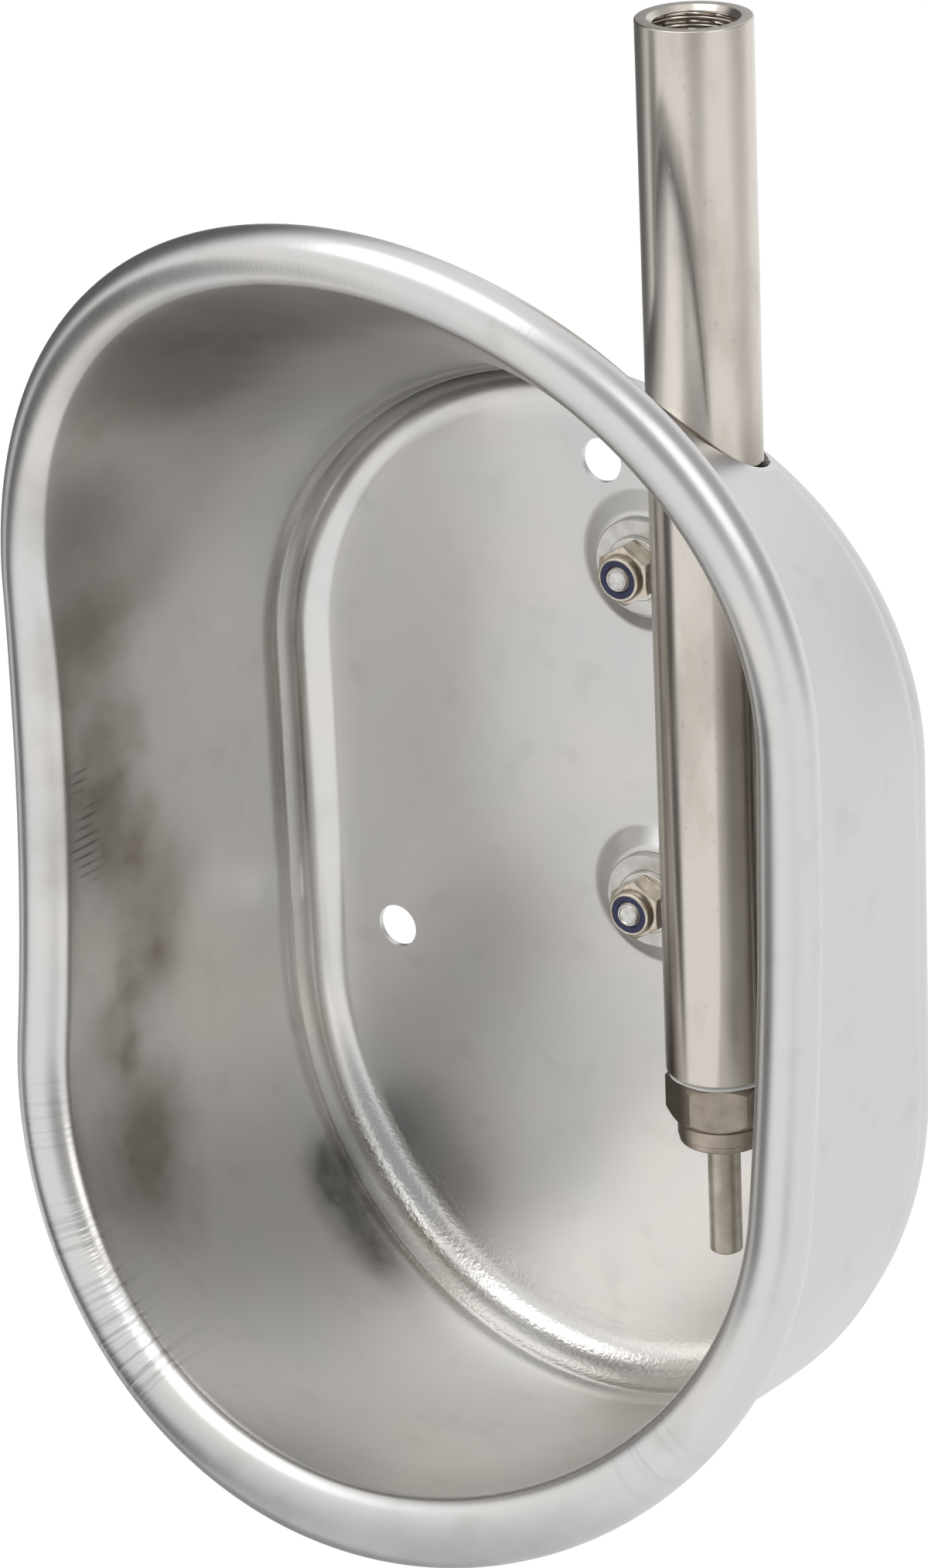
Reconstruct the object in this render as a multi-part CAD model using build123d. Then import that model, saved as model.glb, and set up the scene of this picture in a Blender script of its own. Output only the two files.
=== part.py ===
from build123d import *
import os
from math import sin, cos, tan, atan2, radians, degrees, hypot

# Wall-mounted stainless drinking bowl with a water tube and a tilting nipple valve.
# Millimetres. +Z is up, the wall is the plane y = 0 and the bowl opens towards -Y.
# Depth is measured from the wall. The origin lies midway between the two lower screw holes.

# Sheet metal bowl: the flat back is two half ellipses joined by straight sides
SHEET = 1.5
FLAT_HALF_WIDTH = 79.0
FLAT_HOOD_Z = 75.0
FLAT_HOOD_HEIGHT = 73.0
FLAT_TROUGH_Z = -9.0
FLAT_TROUGH_HEIGHT = 88.0
BACK_FILLET = 10.5
BEAD_START = 1.0
BEAD_TURN = 30.0
BEAD_RADIUS = 1.5
BEAD_SWEEP = 8.0

# Rolled rim: the middle of the roll, seen from the front, is the same kind of line
RIM_HALF_WIDTH = 104.0
RIM_HOOD_Z = 112.0
RIM_HOOD_HEIGHT = 102.5
RIM_TROUGH_Z = 0.0
RIM_TROUGH_HEIGHT = 94.0
WAIST_Z = 99.0
WAIST_DEPTH = 90.5
HOOD_RISE = 18.5
TROUGH_RISE = 33.0
TROUGH_POWER = 2.2
ROLL_RADIUS = 6.2
ROLL_WRAP = 290.0
WALL_BULGE = 2.0
WALL_PULL = 0.33

# Screw holes that hold the bowl to the wall
WALL_HOLE = 11.0
TOP_HOLE_Z = 134.0
LOWER_HOLE_SPAN = 131.0

# Pressed bosses and the M8 fasteners on them
BOSS_HEIGHT = 3.5
BOSS_BASE = 36.0
BOSS_TOP = 26.0
BOSS_ROUNDING = 3.0
BOLT_X = 13.0
UPPER_BOLT_Z = 111.0
BOLT_PITCH = 86.0
BOLT_SIZE = 8.0
BOLT_CLEARANCE = 0.5
HEAD_WIDTH = 17.0
HEAD_HEIGHT = 3.0
HEAD_ROUNDING = 1.8
BOLT_STAND_OUT = 0.6
BOLT_TIP = 0.8
WASHER_WIDTH = 16.0
WASHER_THICK = 1.6
NUT_FLATS = 13.0
NUT_HEX_HEIGHT = 5.8
NUT_HEIGHT = 8.0
NUT_COLLAR = 11.4
NUT_ROUNDING = 0.7
THREAD_GAP = 0.1
LOCK_RING_WIDTH = 9.4
LOCK_RING_HEIGHT = 1.7
LOCK_RING_SINK = 0.2

# Water tube and the lugs welded to its back
TUBE_WIDTH = 26.9
TUBE_BORE = 18.0
TUBE_X = 40.7
TUBE_TOP_Z = 251.0
TUBE_LENGTH = 258.5
TAPPED_BORE = 18.9
TAPPED_DEPTH = 20.0
MOUTH_CHAMFER = 2.4
FOOT_CHAMFER = 0.8
TUBE_GAP = 1.5
LUG_THICK = 2.0
LUG_WIDTH = 24.0
LUG_END = 1.5
WELD_RADIUS = 1.8

# Nipple valve screwed into the foot of the tube
TAPE_HEIGHT = 1.2
TAPE_WIDTH = 25.6
TAPE_ROUNDING = 0.4
HEX_FLATS = 24.0
HEX_HEIGHT = 11.0
HEX_TURN = 10.0
COLLAR_WIDTH = 22.0
COLLAR_HEIGHT = 6.3
STEM_LENGTH = 15.0
CHAMBER_BORE = 14.5
SEAT_BORE = 9.8
SEAT_LIP = 2.0
MOUTH_BORE = 14.2
SEAT_DEPTH = 4.0
SEAL_WIRE = 2.0
PIN_WIDTH = 8.0
PIN_REACH = 31.0
PIN_HEAD = 13.0
PIN_HEAD_HEIGHT = 2.5
PIN_CHAMFER = 0.7
VALVE_GAP = 0.3
CAP_WIDTH = 12.0
CAP_HEIGHT = 1.5
CAP_STEM_WIDTH = 6.0
CAP_STEM_HEIGHT = 2.5
SPRING_WIRE = 1.0
SPRING_WIDTH = 10.0
SPRING_TURNS = 4.0
RETAINER_HEIGHT = 2.0
RETAINER_HOLE = 7.0
JET_HEIGHT = 2.0
JET_HOLE = 2.5
STRAINER_HEIGHT = 8.0
STRAINER_WALL = 0.8
STRAINER_SLOTS = 8
STRAINER_SLOT = 1.6

SECTION_STEP = 9
PLATE_INSET = 7.0
PLATE_LAP = 3.0

# Places that follow from the sizes above
RIM_TOP_Z = RIM_HOOD_Z + RIM_HOOD_HEIGHT
RIM_BOTTOM_Z = RIM_TROUGH_Z - RIM_TROUGH_HEIGHT
UPPER_POLE_Z = FLAT_HOOD_Z
LOWER_POLE_Z = RIM_TROUGH_Z
LOWER_BOLT_Z = UPPER_BOLT_Z - BOLT_PITCH
SEAT_FACE = SHEET + BOSS_HEIGHT
LUG_FACE = SEAT_FACE + LUG_THICK
NUT_FACE = LUG_FACE + WASHER_THICK
TUBE_DEPTH = LUG_FACE + TUBE_WIDTH / 2
TUBE_FOOT_Z = TUBE_TOP_Z - TUBE_LENGTH
HEX_TOP_Z = TUBE_FOOT_Z - TAPE_HEIGHT
HEX_FOOT_Z = HEX_TOP_Z - HEX_HEIGHT
COLLAR_FOOT_Z = HEX_FOOT_Z - COLLAR_HEIGHT
STEM_TOP_Z = HEX_TOP_Z + STEM_LENGTH
SEAT_Z = HEX_TOP_Z - SEAT_DEPTH
HEAD_FOOT_Z = SEAT_Z + SEAL_WIRE + VALVE_GAP
HEAD_TOP_Z = HEAD_FOOT_Z + PIN_HEAD_HEIGHT
CAP_FOOT_Z = HEAD_TOP_Z + VALVE_GAP
SPRING_FOOT_Z = CAP_FOOT_Z + CAP_HEIGHT
JET_FOOT_Z = STEM_TOP_Z - JET_HEIGHT
RETAINER_FOOT_Z = JET_FOOT_Z - RETAINER_HEIGHT


def at_wall(x, z):
    """Frame on the wall at x, z whose local Z points out of the wall, into the room."""
    return Plane(origin=(x, 0, z), x_dir=(1, 0, 0), z_dir=(0, -1, 0))


def disc(width, low, high):
    """Upright cylinder between two heights."""
    return Pos(0, 0, (low + high) / 2) * Cylinder(width / 2, high - low)


def on_tube_axis(shape):
    """Moves a shape drawn on the Z axis to the axis of the water tube."""
    return Pos(TUBE_X, -TUBE_DEPTH, 0) * shape


def hexagon(flats, height):
    """Hexagonal bar standing on the ground plane."""
    return extrude(RegularPolygon(flats / 2, 6, major_radius=False), height)


# ---- bowl ----

def edge_reach(angle, half_width, middle, height):
    """Distance from a pole to an edge line, at an angle from the vertical.

    The line has straight sides and ends in half an ellipse, whose middle lies beyond the pole.
    """
    across = sin(radians(angle))
    upright = cos(radians(angle))
    if half_width * upright < middle * across:
        return half_width / across
    narrow = (across / half_width) ** 2 + (upright / height) ** 2
    root = (narrow - (middle * across / (half_width * height)) ** 2) ** 0.5
    return (middle * upright / height ** 2 + root) / narrow


def rim_depth(z):
    """Depth of the roll, which is least at the waist and grows to the hood and the trough."""
    if z > WAIST_Z:
        return WAIST_DEPTH + HOOD_RISE * ((z - WAIST_Z) / (RIM_TOP_Z - WAIST_Z)) ** 2
    return WAIST_DEPTH + TROUGH_RISE * ((WAIST_Z - z) / (WAIST_Z - RIM_BOTTOM_Z)) ** TROUGH_POWER


def along(point, angle, distance):
    """Point at a distance from another, at an angle in degrees."""
    return (point[0] + distance * cos(radians(angle)), point[1] + distance * sin(radians(angle)))


def face_line(flat_reach, roll, offset):
    """One face of the sheet from the flat back to the free edge of the roll, as (reach, depth).

    An offset of 0 gives the inside face, and an offset of SHEET the outside face.
    """
    fillet_centre = (flat_reach, SHEET + BACK_FILLET)
    wall_foot = (flat_reach + BACK_FILLET, SHEET + BACK_FILLET + BEAD_START)
    chord = degrees(atan2(roll[0] - ROLL_RADIUS - wall_foot[0], roll[1] - wall_foot[1]))
    foot_lean = chord / 2 + WALL_BULGE
    rim_lean = 2 * chord - foot_lean
    flat_start = (flat_reach - PLATE_INSET, SHEET - offset)
    flat_end = (flat_reach, SHEET - offset)
    fillet_end = along(fillet_centre, -foot_lean, BACK_FILLET + offset)
    bead_start = along(fillet_end, 90 - foot_lean, BEAD_START)
    bead_one = BEAD_RADIUS + SHEET - offset
    bead_two = BEAD_SWEEP + offset
    centre_one = along(bead_start, -foot_lean, bead_one)
    turn = 180 - foot_lean - BEAD_TURN
    bead_middle = along(centre_one, turn, bead_one)
    centre_two = along(bead_middle, turn, bead_two)
    bead_end = along(centre_two, -foot_lean, bead_two)
    roll_radius = ROLL_RADIUS - offset
    roll_start = along(roll, 180 - rim_lean, roll_radius)
    pull = WALL_PULL * hypot(roll_start[0] - bead_end[0], roll_start[1] - bead_end[1])
    return [
        Line(flat_start, flat_end),
        CenterArc(fillet_centre, BACK_FILLET + offset, -90, 90 - foot_lean),
        Line(fillet_end, bead_start),
        CenterArc(centre_one, bead_one, 180 - foot_lean, -BEAD_TURN),
        CenterArc(centre_two, bead_two, turn - 180, BEAD_TURN),
        Bezier(
            bead_end,
            along(bead_end, 90 - foot_lean, pull),
            along(roll_start, 270 - rim_lean, pull),
            roll_start,
        ),
        CenterArc(roll, roll_radius, 180 - rim_lean, -ROLL_WRAP / 2),
        CenterArc(roll, roll_radius, 180 - rim_lean - ROLL_WRAP / 2, -ROLL_WRAP / 2),
    ]


def sheet_section(z, outward, flat_reach, reach):
    """Closed section through the sheet in the plane that holds Y and the outward direction."""
    roll = (reach, rim_depth(z + reach * outward.Z))
    inside = face_line(flat_reach, roll, 0)
    outside = face_line(flat_reach, roll, SHEET)
    inner_end = Line(outside[0] @ 0, inside[0] @ 0)
    free_edge = Line(outside[-1] @ 1, inside[-1] @ 1)
    plane = Plane(origin=(0, 0, z), x_dir=outward, z_dir=outward.cross(Vector(0, -1, 0)))
    return plane.location * Wire(outside + [free_edge] + inside[::-1] + [inner_end])


def wall_ring():
    """Fillet, bead, wall and rolled rim, lofted through sections round the right half."""
    sections = []
    for angle in range(-2 * SECTION_STEP, 91, SECTION_STEP):
        outward = Vector(sin(radians(angle)), 0, cos(radians(angle)))
        flat = edge_reach(abs(angle), FLAT_HALF_WIDTH, FLAT_HOOD_Z - UPPER_POLE_Z, FLAT_HOOD_HEIGHT)
        rim = edge_reach(abs(angle), RIM_HALF_WIDTH, RIM_HOOD_Z - UPPER_POLE_Z, RIM_HOOD_HEIGHT)
        sections.append(sheet_section(UPPER_POLE_Z, outward, flat, rim))
    for share in (0.75, 0.5, 0.25):
        z = LOWER_POLE_Z + (UPPER_POLE_Z - LOWER_POLE_Z) * share
        sections.append(sheet_section(z, Vector(1, 0, 0), FLAT_HALF_WIDTH, RIM_HALF_WIDTH))
    for angle in range(90, -2 * SECTION_STEP - 1, -SECTION_STEP):
        outward = Vector(sin(radians(angle)), 0, -cos(radians(angle)))
        flat = edge_reach(abs(angle), FLAT_HALF_WIDTH, LOWER_POLE_Z - FLAT_TROUGH_Z, FLAT_TROUGH_HEIGHT)
        rim = edge_reach(abs(angle), RIM_HALF_WIDTH, LOWER_POLE_Z - RIM_TROUGH_Z, RIM_TROUGH_HEIGHT)
        sections.append(sheet_section(LOWER_POLE_Z, outward, flat, rim))
    span = 4 * RIM_TOP_Z
    half = Solid.make_loft(sections) & Pos(span / 2, 0, 0) * Box(span, span, span)
    return half + mirror(half, Plane.YZ)


def boss(z):
    """Round boss pressed towards the inside, and the hollow left behind it."""
    slope = (BOSS_BASE - BOSS_TOP) / 2 / BOSS_HEIGHT
    side_wall = SHEET * (hypot(1, slope) - slope)
    hollow_base = BOSS_BASE / 2 - side_wall + SHEET * slope
    hollow_top = BOSS_TOP / 2 - side_wall
    front = loft([Pos(0, 0, SHEET) * Circle(BOSS_BASE / 2), Pos(0, 0, SEAT_FACE) * Circle(BOSS_TOP / 2)])
    front = fillet(front.edges().group_by(Axis.Z)[-1], BOSS_ROUNDING)
    back = loft([Circle(hollow_base), Pos(0, 0, BOSS_HEIGHT) * Circle(hollow_top)])
    place = at_wall(BOLT_X, z).location
    return place * front, place * back


def back_plate():
    """Flat middle of the back, lapped into the ring, with its bosses and holes."""
    inset = PLATE_INSET - PLATE_LAP
    half_width = FLAT_HALF_WIDTH - inset
    outline = Pos(0, FLAT_HOOD_Z) * Ellipse(half_width, FLAT_HOOD_HEIGHT - inset)
    outline += Pos(0, FLAT_TROUGH_Z) * Ellipse(half_width, FLAT_TROUGH_HEIGHT - inset)
    sides = Rectangle(2 * half_width, FLAT_HOOD_Z - FLAT_TROUGH_Z)
    outline += Pos(0, (FLAT_HOOD_Z + FLAT_TROUGH_Z) / 2) * sides
    plate = extrude(at_wall(0, 0) * outline, SHEET)
    for z in (UPPER_BOLT_Z, LOWER_BOLT_Z):
        front, back = boss(z)
        plate += front
        foot = plate.edges().filter_by(GeomType.CIRCLE).sort_by_distance((BOLT_X, -SHEET, z - BOSS_BASE / 2))
        plate = fillet(foot[0], BOSS_ROUNDING) - back
        plate -= at_wall(BOLT_X, z).location * Cylinder((BOLT_SIZE + BOLT_CLEARANCE) / 2, 4 * SEAT_FACE)
    for x, z in ((0, TOP_HOLE_Z), (-LOWER_HOLE_SPAN / 2, 0), (LOWER_HOLE_SPAN / 2, 0)):
        plate -= at_wall(x, z).location * Cylinder(WALL_HOLE / 2, 4 * SHEET)
    return plate


def bowl_shell():
    """Deep-drawn bowl with rolled rim, and the hole in its upper wall for the tube."""
    shell = wall_ring() + back_plate()
    return shell - on_tube_axis(disc(TUBE_WIDTH + 2 * TUBE_GAP, UPPER_POLE_Z, TUBE_TOP_Z))


# ---- water tube ----

def water_tube():
    """Straight tube, tapped at both ends, with a wide chamfer in its mouth."""
    tube = disc(TUBE_WIDTH, TUBE_FOOT_Z, TUBE_TOP_Z)
    tube = chamfer(tube.edges().group_by(Axis.Z)[0], FOOT_CHAMFER)
    tube -= disc(TUBE_BORE, TUBE_FOOT_Z, TUBE_TOP_Z)
    tube -= disc(TAPPED_BORE, TUBE_TOP_Z - TAPPED_DEPTH, TUBE_TOP_Z)
    tube -= disc(TAPPED_BORE, TUBE_FOOT_Z, TUBE_FOOT_Z + TAPPED_DEPTH)
    mouth = tube.edges().filter_by(GeomType.CIRCLE).group_by(Axis.Z)[-1].sort_by(SortBy.RADIUS)[0]
    return on_tube_axis(chamfer(mouth, MOUTH_CHAMFER))


def tube_lug(z):
    """Flat lug with a round end for the bolt, and the two weld beads that join it to the tube."""
    weld_x = 2 * (TUBE_WIDTH / 2 * WELD_RADIUS) ** 0.5 - WELD_RADIUS / 2
    to_tube = TUBE_X - BOLT_X
    reach = to_tube + weld_x + WELD_RADIUS + LUG_END
    outline = Circle(LUG_WIDTH / 2) + Pos(reach / 2, 0) * Rectangle(reach, LUG_WIDTH)
    lug = extrude(outline - Circle((BOLT_SIZE + BOLT_CLEARANCE) / 2), LUG_THICK)
    for x in (to_tube - weld_x, to_tube + weld_x):
        bead = Rot(90, 0, 0) * Cylinder(WELD_RADIUS, LUG_WIDTH - 2 * LUG_END)
        lug += Pos(x, 0, LUG_THICK + WELD_RADIUS / 2) * bead
    seated = at_wall(BOLT_X, z).location * Pos(0, 0, SEAT_FACE) * lug
    return seated - on_tube_axis(disc(TUBE_WIDTH, TUBE_FOOT_Z, TUBE_TOP_Z))


# ---- fasteners, drawn on the Z axis with Z as depth from the wall ----

def bolt():
    """M8 bolt with a low domed head that stays inside the hollow of the boss."""
    head = Pos(0, 0, BOSS_HEIGHT - HEAD_HEIGHT / 2) * Cylinder(HEAD_WIDTH / 2, HEAD_HEIGHT)
    head = fillet(head.edges().group_by(Axis.Z)[0], HEAD_ROUNDING)
    tip = NUT_FACE + NUT_HEIGHT + BOLT_STAND_OUT
    shank = disc(BOLT_SIZE, BOSS_HEIGHT, tip)
    shank = chamfer(shank.edges().group_by(Axis.Z)[-1], BOLT_TIP)
    return head + shank


def washer():
    """Plain washer between the lug and the nut."""
    return disc(WASHER_WIDTH, LUG_FACE, NUT_FACE) - disc(BOLT_SIZE + BOLT_CLEARANCE, LUG_FACE, NUT_FACE)


def nut():
    """Lock nut: chamfered hexagon and a round collar with a seat for the lock ring."""
    corner = NUT_FLATS / 2 / cos(radians(30))
    shoulder = corner - NUT_FLATS / 2
    round_bar = Pos(0, 0, NUT_HEX_HEIGHT / 2) * Cylinder(corner, NUT_HEX_HEIGHT)
    round_bar = chamfer(round_bar.edges().group_by(Axis.Z)[-1], shoulder * tan(radians(30)), shoulder)
    collar = disc(NUT_COLLAR, 0, NUT_HEIGHT)
    collar = fillet(collar.edges().group_by(Axis.Z)[-1], NUT_ROUNDING)
    body = (hexagon(NUT_FLATS, NUT_HEX_HEIGHT) & round_bar) + collar
    body -= disc(BOLT_SIZE + THREAD_GAP, 0, NUT_HEIGHT)
    body -= disc(LOCK_RING_WIDTH, NUT_HEIGHT - LOCK_RING_HEIGHT, NUT_HEIGHT)
    return Pos(0, 0, NUT_FACE) * body


def lock_ring():
    """Nylon ring in the collar of the nut."""
    top = NUT_FACE + NUT_HEIGHT
    ring = disc(LOCK_RING_WIDTH, top - LOCK_RING_HEIGHT, top - LOCK_RING_SINK)
    return ring - disc(BOLT_SIZE + THREAD_GAP, NUT_FACE, top)


# ---- nipple valve ----

def nipple_body():
    """Threaded stem, hexagon and collar, bored for the spring above the seat and the pin below."""
    corner = HEX_FLATS / 2 / cos(radians(30))
    bevel = corner - HEX_FLATS / 2
    round_bar = disc(2 * corner, HEX_FOOT_Z, HEX_TOP_Z)
    round_bar = chamfer(round_bar.edges().group_by(Axis.Z)[0], bevel, bevel)
    hexed = Pos(0, 0, HEX_FOOT_Z) * Rot(0, 0, HEX_TURN) * hexagon(HEX_FLATS, HEX_HEIGHT)
    body = (hexed & round_bar) + disc(COLLAR_WIDTH, COLLAR_FOOT_Z, HEX_FOOT_Z)
    body += disc(TAPPED_BORE - THREAD_GAP, HEX_TOP_Z, STEM_TOP_Z)
    body -= disc(CHAMBER_BORE, SEAT_Z, STEM_TOP_Z)
    body -= disc(SEAT_BORE, SEAT_Z - SEAT_LIP, SEAT_Z)
    body -= disc(MOUTH_BORE, COLLAR_FOOT_Z, SEAT_Z - SEAT_LIP)
    return on_tube_axis(body)


def seal_tape():
    """Thread tape squeezed out between the tube and the hexagon."""
    ring = disc(TAPE_WIDTH, HEX_TOP_Z, TUBE_FOOT_Z)
    ring = fillet(ring.edges(), TAPE_ROUNDING)
    return on_tube_axis(ring - disc(TAPPED_BORE, HEX_TOP_Z, TUBE_FOOT_Z))


def seat_ring():
    """Rubber ring that the head of the pin closes on."""
    radius = (CHAMBER_BORE - SEAL_WIRE) / 2 - VALVE_GAP
    return on_tube_axis(Pos(0, 0, SEAT_Z + SEAL_WIRE / 2) * Torus(radius, SEAL_WIRE / 2))


def valve_pin():
    """Pin that the animal pushes, with the flat head that lifts off the seat as it tilts."""
    pin = disc(PIN_WIDTH, COLLAR_FOOT_Z - PIN_REACH, HEAD_TOP_Z)
    pin = chamfer(pin.edges().group_by(Axis.Z)[0], PIN_CHAMFER)
    return on_tube_axis(pin + disc(PIN_HEAD, HEAD_FOOT_Z, HEAD_TOP_Z))


def spring_cap():
    """Cap that carries the spring and rises as the head tilts under it."""
    cap = disc(CAP_WIDTH, CAP_FOOT_Z, SPRING_FOOT_Z)
    return on_tube_axis(cap + disc(CAP_STEM_WIDTH, SPRING_FOOT_Z, SPRING_FOOT_Z + CAP_STEM_HEIGHT))


def valve_spring():
    """Return spring between the cap and the retainer."""
    radius = (SPRING_WIDTH - SPRING_WIRE) / 2
    free_height = RETAINER_FOOT_Z - SPRING_FOOT_Z - SPRING_WIRE - 2 * VALVE_GAP
    path = Helix(free_height / SPRING_TURNS, free_height, radius)
    wire = Plane(path @ 0, z_dir=path % 0) * Circle(SPRING_WIRE / 2)
    coil = sweep(wire, path, is_frenet=True)
    return on_tube_axis(Pos(0, 0, SPRING_FOOT_Z + VALVE_GAP + SPRING_WIRE / 2) * coil)


def spring_retainer():
    """Plastic ring that holds the upper end of the spring."""
    ring = disc(CHAMBER_BORE, RETAINER_FOOT_Z, JET_FOOT_Z)
    return on_tube_axis(ring - disc(RETAINER_HOLE, RETAINER_FOOT_Z, JET_FOOT_Z))


def flow_jet():
    """Disc with a small hole that sets the flow."""
    jet = disc(CHAMBER_BORE, JET_FOOT_Z, STEM_TOP_Z)
    return on_tube_axis(jet - disc(JET_HOLE, JET_FOOT_Z, STEM_TOP_Z))


def inlet_strainer():
    """Slotted cup that stands on the stem and keeps grit out of the jet."""
    cup = disc(CHAMBER_BORE, STEM_TOP_Z, STEM_TOP_Z + STRAINER_HEIGHT)
    cup -= disc(CHAMBER_BORE - 2 * STRAINER_WALL, STEM_TOP_Z, STEM_TOP_Z + STRAINER_HEIGHT - STRAINER_WALL)
    slot = Box(CHAMBER_BORE / 2, STRAINER_SLOT, STRAINER_HEIGHT - 4 * STRAINER_WALL)
    slot = Pos(CHAMBER_BORE / 2, 0, STEM_TOP_Z + STRAINER_HEIGHT / 2) * slot
    for number in range(STRAINER_SLOTS):
        cup -= Rot(0, 0, number * 360 / STRAINER_SLOTS) * slot
    return on_tube_axis(cup)


def all_parts():
    """Every sub-part under the name of its node."""
    parts = {
        "bowl_shell": bowl_shell(),
        "water_tube": water_tube(),
        "nipple_body": nipple_body(),
        "seal_tape": seal_tape(),
        "seat_ring": seat_ring(),
        "valve_pin": valve_pin(),
        "spring_cap": spring_cap(),
        "valve_spring": valve_spring(),
        "spring_retainer": spring_retainer(),
        "flow_jet": flow_jet(),
        "inlet_strainer": inlet_strainer(),
    }
    for place, z in (("upper", UPPER_BOLT_Z), ("lower", LOWER_BOLT_Z)):
        stack = at_wall(BOLT_X, z).location
        parts[place + "_lug"] = tube_lug(z)
        parts[place + "_bolt"] = stack * bolt()
        parts[place + "_washer"] = stack * washer()
        parts[place + "_nut"] = stack * nut()
        parts[place + "_lock_ring"] = stack * lock_ring()
    return parts


os.makedirs("parts", exist_ok=True)
for name, part in all_parts().items():
    export_step(part, "parts/" + name + ".step")
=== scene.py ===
from math import asin, atan2, cos, hypot, pi, radians, sin, tan

import bmesh
import bpy
from mathutils import Matrix, Vector
from mathutils.geometry import delaunay_2d_cdt


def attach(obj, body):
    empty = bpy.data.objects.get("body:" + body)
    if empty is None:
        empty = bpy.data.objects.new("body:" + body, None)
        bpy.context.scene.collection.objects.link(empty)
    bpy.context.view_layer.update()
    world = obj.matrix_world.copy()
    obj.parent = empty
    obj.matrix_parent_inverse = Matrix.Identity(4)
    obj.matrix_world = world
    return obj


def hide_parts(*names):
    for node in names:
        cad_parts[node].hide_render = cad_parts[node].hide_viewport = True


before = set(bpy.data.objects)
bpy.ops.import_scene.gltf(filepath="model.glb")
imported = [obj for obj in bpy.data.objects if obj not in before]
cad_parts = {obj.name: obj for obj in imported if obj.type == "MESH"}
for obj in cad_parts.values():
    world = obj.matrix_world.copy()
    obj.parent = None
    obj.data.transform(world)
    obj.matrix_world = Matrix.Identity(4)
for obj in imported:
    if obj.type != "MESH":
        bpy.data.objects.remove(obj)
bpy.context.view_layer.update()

# Sizes in metres. +Z is up, the wall is the plane y = 0 and the bowl opens towards -Y.
MM = 0.001
MICRON = 1e-6

# Bowl, as drawn for the press
SHEET = 1.5 * MM
FLAT_HALF_WIDTH = 79.0 * MM
FLAT_HOOD_Z = 75.0 * MM
FLAT_HOOD_HEIGHT = 73.0 * MM
FLAT_TROUGH_Z = -9.0 * MM
FLAT_TROUGH_HEIGHT = 88.0 * MM
BACK_FILLET = 10.5 * MM
BEAD_START = 1.0 * MM
BEAD_TURN = 30.0
BEAD_RADIUS = 1.5 * MM
BEAD_SWEEP = 8.0 * MM
RIM_HALF_WIDTH = 104.0 * MM
RIM_HOOD_Z = 112.0 * MM
RIM_HOOD_HEIGHT = 102.5 * MM
RIM_TROUGH_Z = 0.0
RIM_TROUGH_HEIGHT = 94.0 * MM
WAIST_Z = 99.0 * MM
WAIST_DEPTH = 90.5 * MM
HOOD_RISE = 18.5 * MM
TROUGH_RISE = 33.0 * MM
TROUGH_POWER = 2.2
ROLL_RADIUS = 6.2 * MM
ROLL_WRAP = 290.0
LIP_HOOD = 8.2 * MM
LIP_SIDE = 8.8 * MM
LIP_TROUGH = 11.5 * MM
WALL_BULGE = 2.0
WALL_PULL = 0.33
PLATE_INSET = 7.0 * MM
UPPER_POLE_Z = FLAT_HOOD_Z
LOWER_POLE_Z = RIM_TROUGH_Z
WALL_HOLE = 11.0 * MM
TOP_HOLE_Z = 134.0 * MM
LOWER_HOLE_SPAN = 131.0 * MM
BOSS_HEIGHT = 3.5 * MM
BOSS_BASE = 36.0 * MM
BOSS_TOP = 26.0 * MM
BOSS_ROUNDING = 3.0 * MM

# M8 fasteners and the lugs under them
BOLT_X = 13.0 * MM
UPPER_BOLT_Z = 111.0 * MM
BOLT_PITCH = 86.0 * MM
BOLT_SIZE = 8.0 * MM
BOLT_HOLE = 8.5 * MM
HEAD_WIDTH = 17.0 * MM
HEAD_HEIGHT = 3.0 * MM
HEAD_ROUNDING = 1.8 * MM
BOLT_STAND_OUT = 0.6 * MM
BOLT_TAPER = 1.2 * MM
TAPER_LENGTH = 2.2 * MM
WASHER_WIDTH = 16.0 * MM
WASHER_THICK = 1.6 * MM
NUT_FLATS = 13.0 * MM
NUT_HEX_HEIGHT = 5.8 * MM
NUT_HEIGHT = 8.0 * MM
NUT_COLLAR = 11.4 * MM
BEVEL_SLOPE = 0.58
LOCK_RING_WIDTH = 9.4 * MM
LOCK_RING_HEIGHT = 1.7 * MM
LOCK_RING_SINK = 0.2 * MM
LUG_THICK = 2.0 * MM
LUG_WIDTH = 24.0 * MM
LUG_END = 1.5 * MM
WELD_RADIUS = 1.8 * MM
WELD_RIPPLES = 12
WELD_SINK = 0.4
WELD_SWELL = (0.9, 1.08)

# Water tube
TUBE_X = 40.7 * MM
TUBE_WIDTH = 26.9 * MM
TUBE_BORE = 18.0 * MM
TUBE_TOP_Z = 251.0 * MM
TUBE_LENGTH = 258.5 * MM
TAPPED_BORE = 18.9 * MM
TAPPED_DEPTH = 20.0 * MM
THREAD_PITCH = 1.814 * MM
THREAD_DEPTH = 1.03 * MM
MOUTH_CHAMFER = 1.2 * MM
FOOT_CHAMFER = 0.8 * MM
TUBE_GAP = 1.5 * MM

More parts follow.
